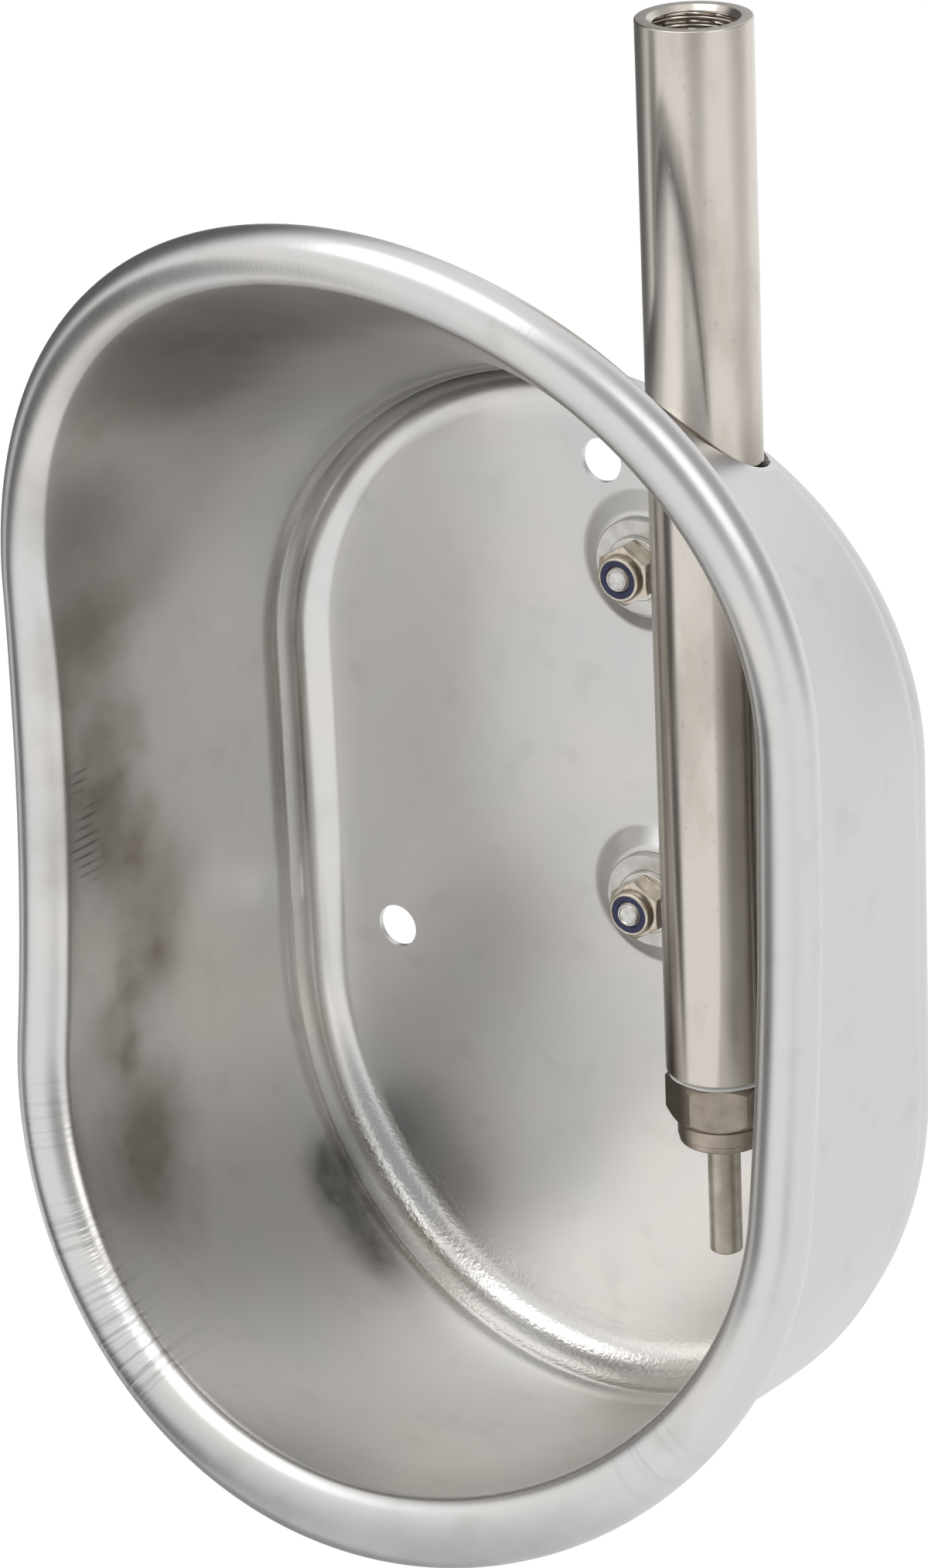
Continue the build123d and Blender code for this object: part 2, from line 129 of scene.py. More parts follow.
# Nipple valve
TAPE_HEIGHT = 1.2 * MM
TAPE_WIDTH = 25.6 * MM
HEX_FLATS = 24.0 * MM
HEX_HEIGHT = 11.0 * MM
HEX_TURN = -3.0
COLLAR_WIDTH = 22.0 * MM
COLLAR_HEIGHT = 6.3 * MM
COLLAR_STEP_HEIGHT = 1.6 * MM
NECK_HEIGHT = 0.6 * MM
STEM_LENGTH = 15.0 * MM
CHAMBER_BORE = 14.5 * MM
SEAT_BORE = 9.8 * MM
SEAT_LIP = 2.0 * MM
MOUTH_BORE = 14.2 * MM
SEAT_DEPTH = 4.0 * MM
SEAL_WIRE = 2.0 * MM
PIN_WIDTH = 8.0 * MM
PIN_REACH = 31.0 * MM
PIN_HEAD = 13.0 * MM
PIN_HEAD_HEIGHT = 2.5 * MM
PIN_HEAD_EDGE = 0.2 * MM
PIN_TIP_CONE = 0.35 * MM
PIN_TIP_EDGE = 0.9 * MM
VALVE_GAP = 0.3 * MM

# Places that follow from the sizes above
SEAT_FACE = SHEET + BOSS_HEIGHT
LUG_FACE = SEAT_FACE + LUG_THICK
NUT_FACE = LUG_FACE + WASHER_THICK
TUBE_DEPTH = LUG_FACE + TUBE_WIDTH / 2
TUBE_FOOT_Z = TUBE_TOP_Z - TUBE_LENGTH
LOWER_BOLT_Z = UPPER_BOLT_Z - BOLT_PITCH
HEX_TOP_Z = TUBE_FOOT_Z - TAPE_HEIGHT
HEX_FOOT_Z = HEX_TOP_Z - HEX_HEIGHT
COLLAR_FOOT_Z = HEX_FOOT_Z - COLLAR_HEIGHT
STEM_TOP_Z = HEX_TOP_Z + STEM_LENGTH
SEAT_Z = HEX_TOP_Z - SEAT_DEPTH
HEAD_FOOT_Z = SEAT_Z + SEAL_WIRE + VALVE_GAP
HEAD_TOP_Z = HEAD_FOOT_Z + PIN_HEAD_HEIGHT
PIN_TIP_Z = COLLAR_FOOT_Z - PIN_REACH
BOLT_PLACES = (UPPER_BOLT_Z, LOWER_BOLT_Z)
WELD_OFF_AXIS = 2 * (TUBE_WIDTH / 2 * WELD_RADIUS) ** 0.5 - WELD_RADIUS / 2
LUG_REACH = TUBE_X - BOLT_X + WELD_OFF_AXIS + WELD_RADIUS + LUG_END

# Steps round the bowl and along its section
ARC_STEPS = 120
SIDE_STEPS = 24
SECTION_STEPS = (2, 12, 1, 5, 5, 24, 40)
HOLE_STEPS = 48
FLAT_GUARD = 1.0 * MM
LATHE_STEPS = 96
PIN_STEPS = 64
HEX_SIDE_STEPS = 12
HEX_CORNER_STEPS = 4
BOSS_STEPS = 6
TAPE_STEPS = (240, 20)
THREAD_STEPS = 10
SHARP_ANGLE = 35.0
MERGE_DISTANCE = 0.01 * MM

# Circle on which the finish lays its lines across the rim, so that they have no seam
RIM_CIRCLE = 160 * MM
# The wall side of the flat and of its bosses lies within this depth of the wall
FLAT_DEPTH = 8 * MM


class Field:
    """A socket that adds Math nodes to its tree as it is calculated with."""

    def __init__(self, tree, socket):
        self.tree = tree
        self.socket = socket

    def math(self, operation, *others):
        node = self.tree.nodes.new("ShaderNodeMath")
        node.operation = operation
        for place, value in zip(node.inputs, (self, *others)):
            plug(self.tree, value, place)
        return Field(self.tree, node.outputs[0])

    def __add__(self, other):
        return self.math("ADD", other)

    def __radd__(self, other):
        return self.math("ADD", other)

    def __sub__(self, other):
        return self.math("SUBTRACT", other)

    def __rsub__(self, other):
        return self.math("MULTIPLY_ADD", -1.0, other)

    def __mul__(self, other):
        return self.math("MULTIPLY", other)

    def __rmul__(self, other):
        return self.math("MULTIPLY", other)

    def __truediv__(self, other):
        return self.math("DIVIDE", other)

    def __pow__(self, other):
        return self.math("POWER", other)

    def sin(self):
        return self.math("SINE")

    def cos(self):
        return self.math("COSINE")

    def ramp(self, low, high):
        """0 at low and 1 at high, with a smooth change between them."""
        made = node(self.tree, "ShaderNodeMapRange", {
            "Value": self, "From Min": low, "From Max": high,
        }, interpolation_type="SMOOTHSTEP")
        return Field(self.tree, made.outputs[0])

    def above(self, limit):
        return self.math("GREATER_THAN", limit)

    def clamp(self):
        return self.math("MAXIMUM", 0.0).math("MINIMUM", 1.0)


def plug(tree, value, place):
    """Links a Field or a socket to an input, or sets the input to a plain value."""
    if isinstance(value, Field):
        tree.links.new(value.socket, place)
    elif isinstance(value, bpy.types.NodeSocket):
        tree.links.new(value, place)
    else:
        place.default_value = value


def node(tree, kind, inputs=(), **settings):
    """A node with its settings and inputs."""
    made = tree.nodes.new(kind)
    for name, value in settings.items():
        setattr(made, name, value)
    for name, value in dict(inputs).items():
        plug(tree, value, made.inputs[name])
    return made


class Shape:
    """A Geometry Nodes tree with named sizes, and the mesh that it makes."""

    def __init__(self, name, **sizes):
        self.tree = bpy.data.node_groups.new(name, "GeometryNodeTree")
        self.tree.interface.new_socket("Geometry", in_out="INPUT", socket_type="NodeSocketGeometry")
        self.tree.interface.new_socket("Geometry", in_out="OUTPUT", socket_type="NodeSocketGeometry")
        self.values = {}
        self.labels = {key: key.replace("_", " ").capitalize() for key in sizes}
        for key, value in sizes.items():
            kind = "NodeSocketInt" if isinstance(value, int) else "NodeSocketFloat"
            item = self.tree.interface.new_socket(self.labels[key], in_out="INPUT", socket_type=kind)
            item.default_value = value
            self.values[item.identifier] = value
        self.source = self.tree.nodes.new("NodeGroupInput")

    def size(self, key):
        """One of the tree's named sizes."""
        return Field(self.tree, self.source.outputs[self.labels[key]])

    def node(self, kind, inputs=(), **settings):
        """A node in the tree."""
        return node(self.tree, kind, inputs, **settings)

    def field(self, kind, inputs=()):
        return Field(self.tree, self.node(kind, inputs).outputs[0])

    def grid(self, columns, rows):
        """A grid to bend, and how far its points lie along it both ways, from 0 to 1."""
        made = self.node("GeometryNodeMeshGrid", {
            "Size X": 1.0, "Size Y": 1.0, "Vertices X": columns, "Vertices Y": rows,
        })
        position = self.node("GeometryNodeInputPosition").outputs[0]
        place = self.node("ShaderNodeSeparateXYZ", {"Vector": position})
        along, up = (Field(self.tree, place.outputs[k]) + 0.5 for k in range(2))
        return made.outputs[0], along, up

    def bend(self, geometry, x, y, z):
        """The geometry with its points moved to the given coordinates."""
        point = self.node("ShaderNodeCombineXYZ", {"X": x, "Y": y, "Z": z})
        inputs = {"Geometry": geometry, "Position": point.outputs[0]}
        return self.node("GeometryNodeSetPosition", inputs).outputs[0]

    def weld(self, geometry, distance):
        """The geometry with points closer than the distance made one."""
        inputs = {"Geometry": geometry, "Distance": distance}
        return self.node("GeometryNodeMergeByDistance", inputs).outputs[0]

    def finish(self, geometry, material, name):
        """Ends the tree, runs it once and returns the plain mesh."""
        real = self.node("GeometryNodeRealizeInstances", {"Geometry": geometry})
        dressed = self.node("GeometryNodeSetMaterial", {
            "Geometry": real.outputs[0], "Material": material,
        })
        output = self.tree.nodes.new("NodeGroupOutput")
        self.tree.links.new(dressed.outputs[0], output.inputs[0])
        carrier = bpy.data.objects.new(name + "_maker", bpy.data.meshes.new(name + "_maker"))
        bpy.context.scene.collection.objects.link(carrier)
        modifier = carrier.modifiers.new("shape", "NODES")
        modifier.node_group = self.tree
        for identifier, value in self.values.items():
            modifier[identifier] = value
        graph = bpy.context.evaluated_depsgraph_get()
        mesh = bpy.data.meshes.new_from_object(carrier.evaluated_get(graph))
        mesh.name = name
        bpy.data.objects.remove(carrier)
        return mesh


# ---- bowl ----

def bowl_ring(material):
    """Fillet, bead, wall and rolled rim: a section swept round the flat back."""
    rows = sum(SECTION_STEPS) + 1
    columns = 2 * (ARC_STEPS + SIDE_STEPS)
    shape = Shape(
        "Bowl wall and rolled rim",
        sheet=SHEET,
        flat_half_width=FLAT_HALF_WIDTH,
        flat_hood_height=FLAT_HOOD_HEIGHT,
        flat_trough_middle=FLAT_TROUGH_Z,
        flat_trough_height=FLAT_TROUGH_HEIGHT,
        back_fillet=BACK_FILLET,
        bead_radius=BEAD_RADIUS,
        bead_sweep=BEAD_SWEEP,
        rim_half_width=RIM_HALF_WIDTH,
        rim_hood_middle=RIM_HOOD_Z,
        rim_hood_height=RIM_HOOD_HEIGHT,
        rim_trough_height=RIM_TROUGH_HEIGHT,
        upper_pole=UPPER_POLE_Z,
        lower_pole=LOWER_POLE_Z,
        waist_height=WAIST_Z,
        waist_depth=WAIST_DEPTH,
        hood_rise=HOOD_RISE,
        trough_rise=TROUGH_RISE,
        trough_power=TROUGH_POWER,
        roll_radius=ROLL_RADIUS,
        roll_wrap=radians(ROLL_WRAP),
        lip_hood=LIP_HOOD,
        lip_side=LIP_SIDE,
        lip_trough=LIP_TROUGH,
    )
    size = shape.size
    grid, along, up = shape.grid(columns + 1, 2 * rows)
    column = along * columns
    row = (up * (2 * rows - 1)).math("ROUND")

    def share(value, start, steps):
        return ((value - start) / steps).clamp()

    right = share(column, ARC_STEPS, SIDE_STEPS)
    left = share(column, 2 * ARC_STEPS + SIDE_STEPS, SIDE_STEPS)
    round_top = share(column, 0, ARC_STEPS)
    round_foot = share(column, ARC_STEPS + SIDE_STEPS, ARC_STEPS)
    angle = (round_top + round_foot) * pi - pi / 2
    out_x = angle.sin()
    out_z = angle.cos()
    pole = size("upper_pole") + (size("upper_pole") - size("lower_pole")) * (left - right)
    is_foot = (0.0 - out_z).above(0.0)
    across = out_x.math("ABSOLUTE").math("MAXIMUM", 1e-6)
    upright = out_z.math("ABSOLUTE")

    def pick(hood, trough):
        return hood + is_foot * (trough - hood)

    def edge_reach(half_width, middle, height):
        narrow = (across / half_width) ** 2.0 + (upright / height) ** 2.0
        square = narrow - (middle * across / (half_width * height)) ** 2.0
        root = square.math("MAXIMUM", 0.0).math("SQRT")
        curved = (middle * upright / (height * height) + root) / narrow
        is_side = (middle * across).above(half_width * upright)
        return curved + is_side * (half_width / across - curved)

    flat = edge_reach(
        size("flat_half_width"),
        is_foot * (size("lower_pole") - size("flat_trough_middle")),
        pick(size("flat_hood_height"), size("flat_trough_height")),
    )
    reach = edge_reach(
        size("rim_half_width"),
        (1.0 - is_foot) * (size("rim_hood_middle") - size("upper_pole")),
        pick(size("rim_hood_height"), size("rim_trough_height")),
    )
    roll_z = pole + reach * out_z
    rim_top = size("rim_hood_middle") + size("rim_hood_height")
    rim_foot = size("lower_pole") - size("rim_trough_height")
    waist = size("waist_height")
    above = ((roll_z - waist) / (rim_top - waist)).math("MAXIMUM", 0.0)
    below = ((waist - roll_z) / (waist - rim_foot)).math("MAXIMUM", 0.0)
    depth = size("waist_depth") + size("hood_rise") * above * above
    depth = depth + size("trough_rise") * below ** size("trough_power")

    outside = row.above(rows - 0.5)
    step = row + outside * ((2 * rows - 1) - row * 2.0)
    offset = outside * size("sheet")
    starts = [sum(SECTION_STEPS[:i]) for i in range(len(SECTION_STEPS))]
    done = [share(step, start, steps) for start, steps in zip(starts, SECTION_STEPS)]

    foot_r = flat + size("back_fillet")
    foot_y = size("sheet") + size("back_fillet") + BEAD_START
    end_lip = pick(size("lip_hood"), size("lip_trough"))
    lip = size("lip_side") + (end_lip - size("lip_side")) * upright ** 2.0
    chord = (reach - lip - foot_r).math("ARCTAN2", depth - foot_y)
    foot_lean = chord * 0.5 + radians(WALL_BULGE)
    rim_lean = chord * 2.0 - foot_lean
    rise = pi / 2 - foot_lean
    bend = radians(BEAD_TURN)

    def add(point, move):
        return (point[0] + move[0], point[1] + move[1])

    def line(heading, length, part):
        return (heading.cos() * length * part, heading.sin() * length * part)

    def arc(heading, turn, radius, part):
        end = heading + turn * part
        return ((end.sin() - heading.sin()) * radius, (heading.cos() - end.cos()) * radius)

    zero = size("sheet") * 0.0
    one = zero + 1.0
    start = (flat - PLATE_INSET, size("sheet") - offset)
    moves = (
        (line, zero, one * PLATE_INSET),
        (arc, zero, rise, size("back_fillet") + offset),
        (line, rise, one * BEAD_START),
        (arc, rise, -bend, (size("bead_radius") + size("sheet") - offset) * -1.0),
        (arc, rise - bend, bend, size("bead_sweep") + offset),
    )
    here = start
    there = start
    for (move, *facts), part in zip(moves, done):
        here = add(here, move(*facts, part))
        there = add(there, move(*facts, one))

    roll_radius = size("roll_radius") - offset
    roll_turn = pi - rim_lean
    lip_stretch = (lip - size("roll_radius")) / size("roll_radius")

    def on_roll(turn):
        inward = (0.0 - turn.cos()).above(0.0)
        return (turn.cos() * (inward * lip_stretch + 1.0) * roll_radius, turn.sin() * roll_radius)

    first = on_roll(roll_turn)
    roll_start = (reach + first[0], depth + first[1])
    gap = (roll_start[0] - there[0], roll_start[1] - there[1])
    pull = (gap[0] * gap[0] + gap[1] * gap[1]).math("SQRT") * WALL_PULL
    one_pull = (rise.cos() * pull, rise.sin() * pull)
    rim_heading = pi / 2 - rim_lean
    two_pull = (gap[0] - rim_heading.cos() * pull, gap[1] - rim_heading.sin() * pull)
    part = done[5]
    rest = 1.0 - part
    weights = (rest * rest * part * 3.0, rest * part * part * 3.0, part * part * part)
    for k in range(2):
        bow = one_pull[k] * weights[0] + two_pull[k] * weights[1] + gap[k] * weights[2]
        here = (here[0] + bow, here[1]) if k == 0 else (here[0], here[1] + bow)
    turned = roll_turn - size("roll_wrap") * done[6]
    rolled = on_roll(turned)
    here = add(here, (rolled[0] - first[0], rolled[1] - first[1]))

    marked = grid
    lap = column / columns * (2 * pi)
    for name, value in (
        ("section", step / rows),
        ("round_x", lap.cos() * RIM_CIRCLE),
        ("round_z", lap.sin() * RIM_CIRCLE),
        ("outside", outside),
    ):
        marked = shape.node(
            "GeometryNodeStoreNamedAttribute",
            {"Geometry": marked, "Name": name, "Value": value},
            data_type="FLOAT", domain="POINT",
        ).outputs[0]
    bent = shape.bend(marked, out_x * here[0], 0.0 - here[1], pole + out_z * here[0])
    return shape.finish(shape.weld(bent, MERGE_DISTANCE), material, "bowl_ring")


def edge_reach(angle, half_width, middle, height):
    """Distance from a pole to an edge line, at an angle from the vertical."""
    across = max(sin(angle), 1e-6)
    upright = abs(cos(angle))
    if half_width * upright < middle * across:
        return half_width / across
    narrow = (across / half_width) ** 2 + (upright / height) ** 2
    root = (narrow - (middle * across / (half_width * height)) ** 2) ** 0.5
    return (middle * upright / height ** 2 + root) / narrow


def plate_outline():
    """Edge of the flat back where the ring takes over, as (x, z), in the ring's own steps."""
    steps = 2 * (ARC_STEPS + SIDE_STEPS)
    points = []
    for step in range(steps):

        def share(start, count):
            return min(max((step - start) / count, 0.0), 1.0)

        angle = pi * (share(0, ARC_STEPS) + share(ARC_STEPS + SIDE_STEPS, ARC_STEPS)) - pi / 2
        drop = share(ARC_STEPS, SIDE_STEPS) - share(2 * ARC_STEPS + SIDE_STEPS, SIDE_STEPS)
        pole = UPPER_POLE_Z - (UPPER_POLE_Z - LOWER_POLE_Z) * drop
        lower = cos(angle) < 0
        middle = LOWER_POLE_Z - FLAT_TROUGH_Z if lower else 0.0
        height = FLAT_TROUGH_HEIGHT if lower else FLAT_HOOD_HEIGHT
        reach = edge_reach(abs(asin(sin(angle))), FLAT_HALF_WIDTH, middle, height) - PLATE_INSET
        points.append((sin(angle) * reach, pole + cos(angle) * reach))
    return points


def circle(x, z, radius, steps):
    turns = [2 * pi * k / steps for k in range(steps)]
    return [(x + radius * cos(turn), z + radius * sin(turn)) for turn in turns]


def boss_section():
    """Half section of the boss on its inside, as (radius, depth), from its foot to its top."""
    slope = atan2(BOSS_HEIGHT, (BOSS_BASE - BOSS_TOP) / 2)
    tangent = BOSS_ROUNDING * tan(slope / 2)
    foot = []
    top = []
    for k in range(BOSS_STEPS + 1):
        turn = slope * k / BOSS_STEPS
        sideways = BOSS_ROUNDING * sin(turn)
        rise = BOSS_ROUNDING * (1 - cos(turn))
        foot.append((BOSS_BASE / 2 + tangent - sideways, SHEET + rise))
        top.append((BOSS_TOP / 2 - tangent + sideways, SHEET + BOSS_HEIGHT - rise))
    return foot + top[::-1]


def bowl_plate(bm):
    """Flat back with its two bosses and its holes, on both faces of the sheet."""
    outline = plate_outline()
    wall_holes = ((0.0, TOP_HOLE_Z), (-LOWER_HOLE_SPAN / 2, 0.0), (LOWER_HOLE_SPAN / 2, 0.0))
    holes = [circle(x, z, WALL_HOLE / 2, HOLE_STEPS) for x, z in wall_holes]
    guards = [circle(x, z, WALL_HOLE / 2 + FLAT_GUARD, HOLE_STEPS) for x, z in wall_holes]
    section = boss_section()
    slope = (BOSS_BASE - BOSS_TOP) / 2 / BOSS_HEIGHT
    side_wall = SHEET * (hypot(1, slope) - slope)
    hollow = [
        (BOSS_BASE / 2 - side_wall + SHEET * slope, 0.0),
        (BOSS_TOP / 2 - side_wall, BOSS_HEIGHT),
    ]
    for face_depth, profile in ((SHEET, section), (0.0, hollow)):
        feet = [circle(BOLT_X, z, profile[0][0], HOLE_STEPS * 2) for z in BOLT_PLACES]
        rims = [circle(BOLT_X, z, profile[0][0] + FLAT_GUARD, HOLE_STEPS * 2) for z in BOLT_PLACES]
        openings = holes + feet
        loops = [outline] + openings + guards + rims
        points = []
        edges = []
        for loop in loops:
            first = len(points)
            points += [Vector(p) for p in loop]
            edges += [(first + k, first + (k + 1) % len(loop)) for k in range(len(loop))]
        made = delaunay_2d_cdt(points, edges, [], 0, 1e-7)
        verts = [bm.verts.new((p.x, -face_depth, p.y)) for p in made[0]]
        for corners in made[2]:
            middle = sum((made[0][k] for k in corners), Vector((0, 0))) / len(corners)
            in_hole = any(inside_loop(middle, loop) for loop in openings)
            if inside_loop(middle, outline) and not in_hole:
                bm.faces.new([verts[k] for k in corners])
        for z in BOLT_PLACES:
            rings = [circle(BOLT_X, z, r, HOLE_STEPS * 2) for r, depth in profile]
            rings.append(circle(BOLT_X, z, BOLT_HOLE / 2, HOLE_STEPS * 2))
            depths = [depth for r, depth in profile] + [profile[-1][1]]
            bridge(bm, [[(x, -d, q) for x, q in ring] for ring, d in zip(rings, depths)])
    for x, z in wall_holes:
        edge = circle(x, z, WALL_HOLE / 2, HOLE_STEPS)
        bridge(bm, [[(p, -d, q) for p, q in edge] for d in (0.0, SHEET)])
    for z in BOLT_PLACES:
        edge = circle(BOLT_X, z, BOLT_HOLE / 2, HOLE_STEPS * 2)
        bridge(bm, [[(p, -d, q) for p, q in edge] for d in (BOSS_HEIGHT, BOSS_HEIGHT + SHEET)])


def inside_loop(point, loop):
    """Whether a flat point lies inside a closed loop."""
    inside = False
    for (x1, y1), (x2, y2) in zip(loop, loop[1:] + loop[:1]):
        if (y1 > point.y) != (y2 > point.y):
            crossing = (x2 - x1) * (point.y - y1) / (y2 - y1) + x1
            inside = inside != (point.x < crossing)
    return inside


def bridge(bm, loops):
    """Skins a row of closed point loops with quads."""
    rings = [[bm.verts.new(p) for p in loop] for loop in loops]
    count = len(rings[0])
    for low, high in zip(rings, rings[1:]):
        for k in range(count):
            n = (k + 1) % count
            bm.faces.new((low[k], low[n], high[n], high[k]))
    return rings


def new_object(name, mesh):
    """Links a mesh to the scene at the origin."""
    made = bpy.data.objects.new(name, mesh)
    bpy.context.scene.collection.objects.link(made)
    return made


def smooth(mesh, angle=SHARP_ANGLE):
    """Smooth faces, with edges steeper than the angle kept sharp."""
    for face in mesh.polygons:
        face.use_smooth = True
    mesh.set_sharp_from_angle(angle=radians(angle))


def finish_bm(bm, name, material, angle=SHARP_ANGLE):
    """Welds a closed shape, turns its faces outwards and makes it an object."""
    bmesh.ops.remove_doubles(bm, verts=bm.verts, dist=MERGE_DISTANCE)
    bmesh.ops.recalc_face_normals(bm, faces=bm.faces)
    mesh = bpy.data.meshes.new(name)
    for face in bm.faces:
        face.material_index = 0
    bm.to_mesh(mesh)
    bm.free()
    mesh.materials.append(material)
    smooth(mesh, angle)
    return new_object(name, mesh)


def cut_tube_hole(bowl):
    """Hole in the upper wall that the tube comes down through."""
    bm = bmesh.new()
    edge = circle(TUBE_X, -TUBE_DEPTH, TUBE_WIDTH / 2 + TUBE_GAP, LATHE_STEPS)
    rings = bridge(bm, [[(x, y, z) for x, y in edge] for z in (UPPER_POLE_Z, TUBE_TOP_Z)])
    for ring in rings:
        bm.faces.new(ring)
    bmesh.ops.recalc_face_normals(bm, faces=bm.faces)
    mesh = bpy.data.meshes.new("hole_cutter")
    bm.to_mesh(mesh)
    bm.free()
    cutter = new_object("hole_cutter", mesh)
    cut = bowl.modifiers.new("tube_hole", "BOOLEAN")
    cut.operation = "DIFFERENCE"
    cut.solver = "MANIFOLD"
    cut.object = cutter
    graph = bpy.context.evaluated_depsgraph_get()
    result = bpy.data.meshes.new_from_object(bowl.evaluated_get(graph))
    old = bowl.data
    bowl.modifiers.clear()
    bowl.data = result
    bpy.data.meshes.remove(old)
    bpy.data.objects.remove(cutter)
    smooth(result)


def mark_wall_side(mesh):
    """Gives the wall side of the flat the mark that the outside of the bowl has."""
    outside = mesh.attributes["outside"].data
    for vertex in mesh.vertices:
        if vertex.normal.y > 0.2 and vertex.co.y > -FLAT_DEPTH:
            outside[vertex.index].value = 1.0


def make_bowl(material):
    ring = bowl_ring(material)
    bm = bmesh.new()
    bm.from_mesh(ring)
    bowl_plate(bm)
    bowl = finish_bm(bm, "bowl", material)
    cut_tube_hole(bowl)
    mark_wall_side(bowl.data)
    return bowl


# ---- turned shapes ----

def turned(bm, profile, centre=(TUBE_X, -TUBE_DEPTH), steps=LATHE_STEPS):
    """Skins a profile of (radius, height) round an upright axis."""
    return bridge(bm, [[(x, y, z) for x, y in circle(*centre, radius, steps)] for radius, z in profile])


def rounded(corner, before, after, radius, steps=5):
    """Points of a fillet at a corner between the points before and after it."""
    corner, before, after = Vector(corner), Vector(before), Vector(after)
    one = (before - corner).normalized()
    two = (after - corner).normalized()
    half = one.angle(two) / 2
    centre = corner + (one + two).normalized() * radius / sin(half)
    start = corner + one * radius / tan(half)
    end = corner + two * radius / tan(half)
    points = []
    for k in range(steps + 1):
        point = start.lerp(end, k / steps) - centre
        points.append(tuple(centre + point.normalized() * radius))
    return points


def hexagon_ring(flats, rounding, turn=0.0):
    """Points of a hexagon with rounded corners, as (x, y) round the origin."""
    points = []
    corner = (flats / 2 - rounding) / cos(pi / 6)
    for side in range(6):
        middle = radians(turn) + side * pi / 3 + pi / 6
        for k in range(HEX_CORNER_STEPS + 1):
            lean = middle + (k / HEX_CORNER_STEPS - 0.5) * pi / 3
            points.append(Vector((
                corner * cos(middle) + rounding * cos(lean),
                corner * sin(middle) + rounding * sin(lean))))
        onward = middle + pi / 3
        start = points[-1]
        end = Vector((
            corner * cos(onward) + rounding * cos(onward - pi / 6),
            corner * sin(onward) + rounding * sin(onward - pi / 6)))
        points += [start.lerp(end, k / HEX_SIDE_STEPS) for k in range(1, HEX_SIDE_STEPS)]
    return points


def hex_band(ring, low, high, low_bevel, high_bevel):
    """Rows of a hexagonal bar between two heights, whose ends a cone has bevelled.

    A bevel is (radius where the cone meets the end face, slope of the cone).
    """
    rows = []
    for end, inward, bevel in ((low, 1, low_bevel), (high, -1, high_bevel)):
        meets, slope = bevel
        face = [(p.normalized() * min(meets, p.length), end) for p in ring]
        edge = [(p, end + inward * max(p.length - meets, 0.0) * slope) for p in ring]
        rows += [face, edge] if inward == 1 else [edge, face]
    return [[(p.x, p.y, z) for p, z in row] for row in rows]


def round_ring(ring, radius, height):
    """Circle whose points lie on the same rays as a ring's points."""
    return [(*(p.normalized() * radius), height) for p in ring]


# ---- water tube ----

def thread_turns(name, material, bottom, top):
    """Helical pipe thread on the inside of the tube, faded out at both ends."""
    rows = round((top - bottom) / THREAD_PITCH * THREAD_STEPS)
    shape = Shape(
        name,
        bore=TAPPED_BORE,
        thread_pitch=THREAD_PITCH,
        thread_depth=THREAD_DEPTH,
        bottom=bottom,
        top=top,
    )
    size = shape.size
    grid, along, up = shape.grid(LATHE_STEPS + 1, rows + 1)
    turn = along * (2 * pi)
    height = size("bottom") + (size("top") - size("bottom")) * up
    wave = 0.5 - (height / size("thread_pitch") * (2 * pi) - turn).cos() * 0.5
    fade = (height - size("bottom")).ramp(0.0, size("thread_pitch") * 1.5)
    fade = fade * (size("top") - height).ramp(0.0, size("thread_pitch") * 0.3)
    radius = size("bore") * 0.5 + size("thread_depth") * (wave ** 0.6) * fade
    bent = shape.bend(grid, radius * turn.cos() + TUBE_X, radius * turn.sin() - TUBE_DEPTH, height)
    return shape.finish(bent, material, name)


def make_tube(material):
    """Straight tube with a chamfered mouth and a pipe thread at each end."""
    outer = TUBE_WIDTH / 2
    tapped = TAPPED_BORE / 2
    mouth_lip = 0.35 * MM
    upper_thread = (TUBE_TOP_Z - TAPPED_DEPTH, TUBE_TOP_Z - MOUTH_CHAMFER)
    foot_chamfer_end = TUBE_FOOT_Z + FOOT_CHAMFER
    bm = bmesh.new()
    for name, (bottom, top) in (
        ("Inlet thread", upper_thread),
        ("Nipple thread", (TUBE_FOOT_Z, TUBE_FOOT_Z + TAPPED_DEPTH)),
    ):
        bm.from_mesh(thread_turns(name, material, bottom, top))
    outside = [(tapped, TUBE_FOOT_Z), (outer - FOOT_CHAMFER, TUBE_FOOT_Z), (outer, foot_chamfer_end)]
    outside += rounded(
        (outer, TUBE_TOP_Z), (outer, TUBE_FOOT_Z), (0.0, TUBE_TOP_Z), mouth_lip)
    outside += [(tapped + MOUTH_CHAMFER, TUBE_TOP_Z), (tapped, TUBE_TOP_Z - MOUTH_CHAMFER)]
    turned(bm, outside)
    turned(bm, [
        (tapped, upper_thread[0]),
        (TUBE_BORE / 2, upper_thread[0] - 0.4 * MM),
        (TUBE_BORE / 2, TUBE_FOOT_Z + TAPPED_DEPTH + 0.4 * MM),
        (tapped, TUBE_FOOT_Z + TAPPED_DEPTH),
    ])
    return finish_bm(bm, "tube", material)


# ---- fasteners, made on the Z axis and set out on the wall by their own tree ----

